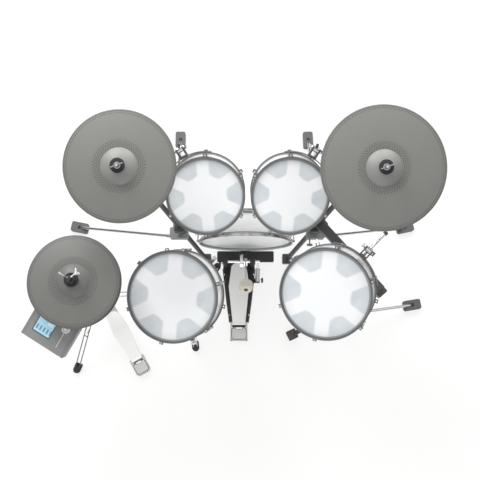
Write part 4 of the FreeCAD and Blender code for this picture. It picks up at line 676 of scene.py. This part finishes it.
class Shape:
    """A mesh put together from turned, flat and bevelled forms, each with its material."""

    def __init__(self):
        self.mesh = bmesh.new()
        self.materials = []

    def add(self, other, finish, matrix):
        """Take over another bmesh, moved into place and given a finish by name."""
        material = FINISH[finish]
        bmesh.ops.recalc_face_normals(other, faces=other.faces)
        other.transform(matrix)
        if material not in self.materials:
            self.materials.append(material)
        number = self.materials.index(material)
        made = {v: self.mesh.verts.new(v.co) for v in other.verts}
        for face in other.faces:
            copy = self.mesh.faces.new([made[v] for v in face.verts])
            copy.material_index = number
        other.free()

    def lathe(self, corners, finish, matrix, steps):
        """A form turned about its Z from (radius, height) corners, closed on the axis or itself."""
        form = bmesh.new()
        turns = [2 * pi * i / steps for i in range(steps)]
        rings = [[form.verts.new((radius * cos(turn), radius * sin(turn), height))
                  for turn in (turns if radius else [0])] for radius, height in corners]
        pairs = list(zip(rings, rings[1:]))
        if len(rings[0]) > 1 and len(rings[-1]) > 1:
            pairs.append((rings[-1], rings[0]))
        for first, second in pairs:
            for i in range(steps):
                after = (i + 1) % steps
                quad = [first[i % len(first)], first[after % len(first)],
                        second[after % len(second)], second[i % len(second)]]
                face = list(dict.fromkeys(quad))
                if len(face) > 2:
                    form.faces.new(face)
        self.add(form, finish, matrix)

    def turned(self, corners, finish, matrix, steps=48, lift=0.0):
        """A turned form whose corners are in mm, lifted along its axis."""
        corners = [(radius * MM, lift + height * MM) for radius, height in corners]
        self.lathe(corners, finish, matrix, steps)

    def pin(self, radius, low, high, finish, matrix, steps=48):
        """A plain round pin between two heights."""
        self.lathe([(0, low), (radius, low), (radius, high), (0, high)], finish, matrix, steps)

    def slab(self, outline, gauge, finish, matrix, bevel=0.0):
        """A flat outline in X and Y given a thickness about its own plane, with rounded edges."""
        form = bmesh.new()
        low = [form.verts.new((x, y, -gauge / 2)) for x, y in outline]
        high = [form.verts.new((x, y, gauge / 2)) for x, y in outline]
        form.faces.new(low[::-1])
        form.faces.new(high)
        count = len(outline)
        for i in range(count):
            after = (i + 1) % count
            form.faces.new((low[i], low[after], high[after], high[i]))
        if bevel:
            rims = [e for e in form.edges if abs(e.verts[0].co.z - e.verts[1].co.z) < 1e-9]
            soften(form, rims, bevel, 2)
        self.add(form, finish, matrix)

    def block(self, size, bevel, finish, matrix):
        """A box about its middle with every edge rounded."""
        form = bmesh.new()
        bmesh.ops.create_cube(form, size=1.0, matrix=Matrix.Diagonal((*size, 1.0)))
        soften(form, form.edges[:], bevel, 3)
        self.add(form, finish, matrix)

    def take(self, mesh, finish, matrix):
        form = bmesh.new()
        form.from_mesh(mesh)
        self.add(form, finish, matrix)

    def piece(self, name, body, replaces=()):
        """The finished object, riding on its body."""
        data = bpy.data.meshes.new(name)
        self.mesh.to_mesh(data)
        self.mesh.free()
        for material in self.materials:
            data.materials.append(material)
        data.shade_smooth()
        data.set_sharp_from_angle(angle=SHARP)
        item = linked(name, data)
        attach(item, body)
        if replaces:
            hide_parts(*replaces)


def linked(name, data):
    """A new object in the scene."""
    item = bpy.data.objects.new(name, data)
    bpy.context.scene.collection.objects.link(item)
    return item


def evaluated(tree, inputs):
    """The plain mesh that a node tree makes with these named inputs."""
    holder = linked("holder", bpy.data.meshes.new("holder"))
    modifier = holder.modifiers.new("nodes", "NODES")
    modifier.node_group = tree
    for item in tree.interface.items_tree:
        if item.item_type == "SOCKET" and item.in_out == "INPUT" and item.name in inputs:
            modifier[item.identifier] = inputs[item.name]
    graph = bpy.context.evaluated_depsgraph_get()
    mesh = bpy.data.meshes.new_from_object(holder.evaluated_get(graph))
    holder.modifiers.clear()
    bpy.data.objects.remove(holder)
    return mesh


def pip_ring_tree():
    """A geometry node tree that makes a ring of small domes."""
    tree = bpy.data.node_groups.new("pip_ring", "GeometryNodeTree")
    for label, kind in (("Radius", "Float"), ("Count", "Int"), ("Pip", "Float"),
                        ("Material", "Material")):
        tree.interface.new_socket(label, in_out="INPUT", socket_type="NodeSocket" + kind)
    tree.interface.new_socket("Geometry", in_out="OUTPUT", socket_type="NodeSocketGeometry")
    given, out = tree.nodes.new("NodeGroupInput"), tree.nodes.new("NodeGroupOutput")
    ring, dome, spread, real, paint = [tree.nodes.new("GeometryNode" + kind) for kind in (
        "MeshCircle", "MeshIcoSphere", "InstanceOnPoints", "RealizeInstances", "SetMaterial")]
    dome.inputs["Subdivisions"].default_value = 1
    for start, leaves, end, enters in (
            (given, "Radius", ring, "Radius"), (given, "Count", ring, "Vertices"),
            (given, "Pip", dome, "Radius"), (ring, "Mesh", spread, "Points"),
            (dome, "Mesh", spread, "Instance"), (spread, 0, real, 0), (real, 0, paint, "Geometry"),
            (given, "Material", paint, "Material"), (paint, 0, out, 0)):
        tree.links.new(start.outputs[leaves], end.inputs[enters])
    return tree


def bow_height(reach, bell, radius):
    """The upper face of a cymbal's bow, which is an arc between the bell and the rim."""
    edge = radius - GAUGE / 2
    share = (edge - reach) / (edge - bell)
    chord = hypot(edge - bell, BOW_RISE - GAUGE)
    sagitta = BOW_ROUND - sqrt(BOW_ROUND ** 2 - (chord / 2) ** 2)
    return GAUGE + share * (BOW_RISE - GAUGE) + 4 * sagitta * share * (1 - share)


def dress(finish, *names):
    for name in names:
        data = NODES[name].data
        data.materials.clear()
        data.materials.append(finish)


def cymbal_frames():
    """Each upper cymbal's name and body, its frame, its radius and its bell's radius."""
    s = sizes()
    return (("crash", "crash", leaning(s.crash_at, s.cymbal_lean), s.crash_radius, s.bell_radius),
            ("ride", "ride", leaning(s.ride_at, s.cymbal_lean), s.ride_radius, s.bell_radius),
            ("hihat", "hihat_rod", moved(*s.hihat_at), s.hihat_radius, s.hihat_bell))


def drum_frames():
    """Each drum's name, the frame of its playing head, its radius and the turn of the arms."""
    for name, where, facing, lean, radius, turn in DRUMS:
        facing = radians(facing)
        hinge = Vector((-sin(facing), cos(facing), 0))
        yield name, moved(*where) @ spun(radians(lean), hinge), radius, radians(turn)
    yield "kick", leaning(KICK_AT, QUARTER), KICK_HEAD, 0.0


def module_frame():
    s = sizes()
    return moved(*s.module_at) @ spun(s.module_turn, "Z") @ spun(s.module_lean, "X")


class KIT_OT_finishes(Operator):
    bl_idname = "kit.finishes"
    bl_label = "Finishes"

    def execute(self, context):
        c = colours()
        FINISH.update(
            shell=shell_wrap(), hoop=coat("hoop_coat", c.hoop, 0.40),
            chrome=plated("chrome_plate", c.chrome),
            dull=plated("dull_chrome", shade(c.chrome, 0.55), 0.18),
            lug=plated("lug_chrome", shade(c.chrome, 0.72), 0.22),
            carrier=moulded("carrier_moulding", c.carrier, 0.5),
            fitting=coat("fitting_coat", c.fitting, 0.42), tube=coat("tube_coat", c.tube, 0.34),
            board=cast("board_cast", c.board), heel=cast("heel_cast", c.heel, 0.3, 0.5),
            black=coat("black_coat", c.black, 0.32, 0.5), felt=felt("beater_felt", c.felt),
            dark_felt=felt("dark_felt", shade(c.black, 1.6)), strap=strap_weave(),
            wire=mottled("spring_wire", *STEEL, (700.0, 3.0), 0.24, 0.12, 1.0),
            knob=moulded("knob_moulding", c.carrier, 0.35),
            pip=mottled("pip_rubber", shade(c.rubber, 0.22), shade(c.rubber, 0.42), (500.0, 2.0),
                        0.7, 0.15),
            rubber=coat("foot_rubber", c.black, 0.7))
        for finish, names in DRESSED.items():
            dress(FINISH[finish], *names)
        for drum, matrix, radius, turn in drum_frames():
            for part, finish in DRUM_PARTS:
                dress(FINISH[finish], "%s_%s" % (drum, part))
            # The kick's head gets no painted shade over the gaps
            painted_shade = 0.0 if drum == "kick" else GAP_SHADE
            dress(head_skin(drum + "_skin", matrix, radius, turn, painted_shade), drum + "_heads")
        dress(coat("kick_hoop_coat", c.kick_hoop, 0.14, metal=0.9), "kick_hoops")
        dress(tipped_arm("tom_arm_chrome", *TOM_ARM), "left_tom_arm", "right_tom_arm")
        dress(tipped_arm("floor_tom_arm_chrome", *FLOOR_TOM_ARM), "crossbar")
        dress(footed_chrome("leg_chrome", THIN_FOOT), "hihat_legs", "snare_stand")
        dress(leg_plate(sizes().hubs()), "stand_legs")
        crash, ride, hihat = cymbal_frames()
        for name, _, *form in (crash, ride):
            dress(cymbal_rubber(name + "_cymbal_rubber", *form), name + "_cymbal")
        for finish, node in (("hihat_top_cymbal_rubber", "hihat_top_cymbal"),
                             ("hihat_low_rubber", "hihat_bottom_cymbal")):
            dress(cymbal_rubber(finish, *hihat[2:], **HIHAT_LOOK), node)
        dress(module_plastic(module_frame()), "module_case")
        dress(lit_screen(module_frame()), "module_screen")
        return {"FINISHED"}


class KIT_OT_pips(Operator):
    """Raise the dotted bands at each cymbal's rim and round its bell"""
    bl_idname = "kit.pips"
    bl_label = "Cymbal dots"

    def execute(self, context):
        tree = pip_ring_tree()
        pip = sizes().pip
        for name, body, matrix, radius, bell in cymbal_frames():
            shape = Shape()
            rows = [(edge + first + i * step, int(edge * share))
                    for edge, (first, step, share, count) in ((radius, RIM_ROWS), (bell, BELL_ROWS))
                    for i in range(count)]
            for row, (reach, count) in enumerate(rows):
                mesh = evaluated(tree, {"Radius": reach, "Count": count, "Pip": pip,
                                        "Material": FINISH["pip"]})
                sunk = moved(0, 0, bow_height(reach, bell, radius) - pip * PIP_SUNK)
                stagger = spun(pi / count * (row % 2), "Z")
                shape.take(mesh, "pip", matrix @ sunk @ stagger)
            shape.piece(name + "_dots", body)
        return {"FINISHED"}


def wing(shape, matrix, finish, span, height, gauge=WING_GAUGE):
    """One ear of a wing nut, standing out along X from its root."""
    outline = [(span * x, height * y) for x, y in WING_OUTLINE]
    shape.slab(outline, gauge, finish, matrix @ spun(QUARTER, "X"), gauge * 0.3)


def wings(shape, matrix, finish, degrees, root, span, height):
    """Both ears of a wing nut."""
    for half in (0, 1):
        turn = spun(radians(degrees) + pi * half, "Z")
        wing(shape, matrix @ turn @ moved(root, 0, 0), finish, span, height)


class KIT_OT_tilters(Operator):
    """Build the stems, felts and wing nuts that carry the crash and the ride"""
    bl_idname = "kit.tilters"
    bl_label = "Cymbal tilters"

    def execute(self, context):
        over = BOW_RISE + BELL_RISE
        under = over - GAUGE
        felt_low = over + FELT_GAP
        nut = felt_low + TILTER_FELT[-1][1] * MM
        for name, _, matrix, _, _ in cymbal_frames()[:2]:
            shape = Shape()
            shape.turned(TILTER_STEM, "chrome", matrix)
            shape.turned(TILTER_SEAT, "dark_felt", matrix, lift=under)
            shape.pin(SLEEVE, under - SLEEVE_OUT, over + SLEEVE_OUT, "black", matrix)
            shape.turned(TILTER_FELT, "dark_felt", matrix, lift=felt_low)
            shape.turned(TILTER_NUT, "dull", matrix, 36, nut)
            foot = matrix @ moved(0, 0, nut)
            wings(shape, foot @ moved(*TILTER_LIFT), "dull", *TILTER_WINGS)
            across = matrix @ moved(*HINGE_AT) @ spun(QUARTER, "Y")
            shape.turned(TILTER_HINGE, "chrome", across, 40)
            tilter = name + "_tilter"
            shape.piece(tilter + "_fittings", tilter, (tilter,))
        return {"FINISHED"}


class KIT_OT_bracket_nuts(Operator):
    """Add the nuts and wings on the bolts that the toms tilt on"""
    bl_idname = "kit.bracket_nuts"
    bl_label = "Tom bracket nuts"

    def execute(self, context):
        hinges = {joint["name"]: joint for joint in frame["record"]["behaviour"]["joints"]}
        for tom in ("left_tom", "right_tom", "floor_tom"):
            hinge = hinges[tom + "_tilt"]
            shape = Shape()
            for side in (1, -1):
                out = Vector(hinge["axis"]) * side
                at = Matrix.Translation(Vector(hinge["pos_m"]) + out * FORK_HALF)
                at = at @ out.to_track_quat("Z", "Y").to_matrix().to_4x4()
                shape.turned(BOLT_NUT, "chrome", at, 28)
                if side == WING_SIDE:
                    wings(shape, at @ moved(*BOLT_LIFT), "chrome", *BOLT_WINGS)
            shape.piece(tom + "_bracket_nuts", tom)
        return {"FINISHED"}


class KIT_OT_clutch(Operator):
    """Build the hi-hat's pull rod with its clutch, felts and wing screws"""
    bl_idname = "kit.clutch"
    bl_label = "Hi-hat clutch"

    def execute(self, context):
        x, y, rim = sizes().hihat_at
        up = moved(x, y, 0)
        top = rim + BOW_RISE + BELL_RISE
        shape = Shape()
        shape.turned(PULL_ROD, "chrome", up, 24)
        shape.turned(CLUTCH_SEAT, "dark_felt", up, lift=top)
        shape.pin(CLUTCH_SLEEVE, top - SLEEVE_OUT, top + SLEEVE_OUT, "chrome", up)
        shape.turned(CLUTCH_FELT, "dark_felt", up, lift=top)
        shape.turned(CLUTCH_BODY, "black", up, 40, top)
        turn = up @ moved(0, 0, top + SCREW_UP) @ spun(SCREW_TURN, "Z")
        shape.turned(CLUTCH_SCREW, "chrome", turn @ spun(QUARTER, "Y"), 24)
        for half in (0, 1):
            ear = turn @ moved(*CLUTCH_WING_AT) @ spun(pi * half, "X")
            wing(shape, ear @ spun(QUARTER, "Z") @ spun(QUARTER, "X"), "chrome", *CLUTCH_WING)
        shape.piece("hihat_clutch", "hihat_rod", ("hihat_rod",))
        return {"FINISHED"}


class KIT_OT_beater(Operator):
    """Build the kick pedal's beater with its felt head"""
    bl_idname = "kit.beater"
    bl_label = "Beater"

    def execute(self, context):
        s = sizes()
        lean, reach = leaning(s.axle_at, s.beater_lean), s.beater_reach
        shape = Shape()
        shape.pin(PIN, 0, reach, "chrome", lean, 24)
        head = lean @ moved(0, FELT_HALF, reach) @ spun(QUARTER, "X")
        shape.turned(BEATER_FELT, "felt", head, 56)
        collar = lean @ moved(0, 0, reach + COLLAR_UP) @ spun(pi, "X")
        shape.turned(BEATER_COLLAR, "black", collar, 28)
        shape.piece("beater_head", "kick_beater", ("pedal_beater",))
        return {"FINISHED"}


def star_knob(shape, matrix, low, high, middle, radius):
    """A five-lobed hand knob on a pin."""
    shape.pin(PIN, low, high, "chrome", matrix, 20)
    outline = []
    for i in range(STAR_STEPS):
        turn = 2 * pi * i / STAR_STEPS
        reach = radius * (1 - STAR_DIP + STAR_DIP * cos(5 * turn))
        outline.append((reach * cos(turn), reach * sin(turn)))
    shape.slab(outline, STAR_GAUGE, "black", matrix @ moved(0, 0, middle), STAR_GAUGE * 0.2)


class KIT_OT_pedal_furniture(Operator):
    """Add the kick pedal's side rails, bearing caps, hand knobs and screws"""
    bl_idname = "kit.pedal_furniture"
    bl_label = "Kick pedal fittings"

    def execute(self, context):
        low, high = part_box("pedal_base")
        middle = sum(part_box("pedal_heel_plate")[side][0] for side in (0, 1)) / 2
        _, axle_y, axle_z = sizes().axle_at
        shape = Shape()
        for side in (-1, 1):
            outline = [(middle + side * x * MM, low.y + y * MM) for x, y in RAIL]
            shape.slab(outline, RAIL_GAUGE, "black", moved(0, 0, RAIL_MIDDLE), RAIL_BEVEL)
            for x, y in RAIL_SCREWS:
                at = moved(middle + side * x * MM, low.y + y * MM, RAIL_TOP)
                shape.turned(RAIL_SCREW, "chrome", at, 20)
        spring_low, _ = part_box("pedal_spring")
        anchor = moved(high.x, spring_low.y + SPRING_HALF, ANCHOR_Z) @ spun(QUARTER, "Y")
        star_knob(shape, anchor, *ANCHOR_KNOB)
        for side in (-1, 1):
            cap = moved(middle + side * CAP_OUT, axle_y, axle_z) @ spun(side * QUARTER, "Y")
            shape.turned(BEARING_CAP, "black", cap, 32)
        knob = moved(low.x + SIDE_KNOB[0], axle_y, SIDE_KNOB_Z) @ spun(-QUARTER, "Y")
        star_knob(shape, knob, *SIDE_KNOB)
        shape.piece("pedal_furniture", "kit")
        return {"FINISHED"}


def rounded(width, depth, radius, steps=6):
    """The outline of a rectangle with round corners, about its middle."""
    corners = []
    for turn, (x, y) in enumerate(((1, 1), (-1, 1), (-1, -1), (1, -1))):
        for i in range(steps + 1):
            aim = QUARTER * (turn + i / steps)
            corners.append((x * (width / 2 - radius) + radius * cos(aim),
                            y * (depth / 2 - radius) + radius * sin(aim)))
    return corners


class KIT_OT_heel_pads(Operator):
    """Add the raised pads on both heel plates, each with a dark seam and a hinge tab"""
    bl_idname = "kit.heel_pads"
    bl_label = "Heel pads"

    def execute(self, context):
        shape = Shape()
        for heel, turn, width in ((sizes().kick_heel, 0.0, KICK_PAD),
                                  (sizes().hihat_heel, HIHAT_TURN, HIHAT_PAD)):
            at = moved(*heel) @ spun(turn, "Z")
            for share, less, depth, corner, gauge, finish, y, z, bevel in PAD_LAYERS:
                outline = rounded(width * share - less, depth, corner)
                shape.slab(outline, gauge, finish, at @ moved(0, y, z), bevel)
        shape.piece("heel_pads", "kit")
        return {"FINISHED"}


class KIT_OT_rubber_feet(Operator):
    """Put rubber blocks on the ends of the hi-hat's and the snare stand's legs"""
    bl_idname = "kit.rubber_feet"
    bl_label = "Rubber feet"

    def execute(self, context):
        shape = Shape()
        for axis, (reach, turns) in ((sizes().hihat_at, HIHAT_FEET),
                                     (sizes().snare_stand_at, SNARE_FEET)):
            for turn in turns:
                leg = moved(axis[0], axis[1], 0) @ spun(radians(turn), "Z")
                foot = leg @ moved(reach - FOOT_BACK, 0, FOOT_Z)
                shape.block(RUBBER_FOOT, FOOT_ROUND, "rubber", foot)
        shape.piece("rubber_feet", "kit")
        return {"FINISHED"}


class KIT_OT_module_face(Operator):
    """Add the light bar on the module's face and the mark on its knob"""
    bl_idname = "kit.module_face"
    bl_label = "Module face"

    def execute(self, context):
        face = module_frame() @ moved(0, 0, FACE_Z)
        shape = Shape()
        shape.block(*LIGHT_BAR, "knob", face @ moved(*LIGHT_BAR_AT))
        shape.piece("module_controls", "module")
        mark = Shape()
        top = face @ moved(*KNOB_AT)
        mark.block(*POINTER, "black", top @ moved(*POINTER_AT))
        mark.turned(KNOB_RING, "fitting", top, 40)
        mark.piece("knob_mark", "module_knob")
        return {"FINISHED"}


class KIT_OT_stage(Operator):
    bl_idname = "kit.stage"
    bl_label = "Studio"

    def execute(self, context):
        scene = context.scene
        data = bpy.data.meshes.new("floor")
        data.from_pydata([(x * FLOOR_HALF, y * FLOOR_HALF, 0)
                          for x, y in ((-1, -1), (1, -1), (1, 1), (-1, 1))], [], [(0, 1, 2, 3)])
        data.materials.append(floor_paper())
        floor = linked("floor", data)
        Sky(scene)
        for name, where, power in LAMPS:
            lamp = bpy.data.lights.new(name, "AREA")
            lamp.size, lamp.energy = LAMP_SIZE, power
            item = linked(name, lamp)
            item.location = where
            item.rotation_euler = (LAMP_AIM - Vector(where)).to_track_quat("-Z", "Y").to_euler()
        camera = bpy.data.cameras.new("camera")
        camera.sensor_width, camera.lens, camera.clip_end = SENSOR, LENS, FAR
        scene.camera = linked("camera", camera)
        scene.camera.location = CAMERA_AT
        scene.camera.rotation_euler = Euler((CAMERA_TILT, 0.0, 0.0))
        scene.view_settings.view_transform = "Standard"
        return {"FINISHED"}


OPERATORS = (KIT_OT_finishes, KIT_OT_pips, KIT_OT_tilters, KIT_OT_bracket_nuts, KIT_OT_clutch,
             KIT_OT_beater, KIT_OT_pedal_furniture, KIT_OT_heel_pads, KIT_OT_rubber_feet,
             KIT_OT_module_face, KIT_OT_stage)


class KIT_PT_panel(Panel):
    bl_idname = "KIT_PT_panel"
    bl_label = "Drum kit"
    bl_space_type = "VIEW_3D"
    bl_region_type = "UI"
    bl_category = "Drum kit"

    def draw(self, context):
        for operator in OPERATORS:
            self.layout.operator(operator.bl_idname)


CLASSES = (KitColours, KitSizes) + OPERATORS + (KIT_PT_panel,)


def register():
    for item in CLASSES:
        bpy.utils.register_class(item)
    Scene.kit_colours = PointerProperty(type=KitColours)
    Scene.kit_sizes = PointerProperty(type=KitSizes)


def unregister():
    del Scene.kit_sizes
    del Scene.kit_colours
    for item in reversed(CLASSES):
        bpy.utils.unregister_class(item)


def main():
    register()
    for operator in OPERATORS:
        group, name = operator.bl_idname.split(".")
        getattr(getattr(bpy.ops, group), name)()
    bpy.context.view_layer.update()


if __name__ == "__main__":
    main()
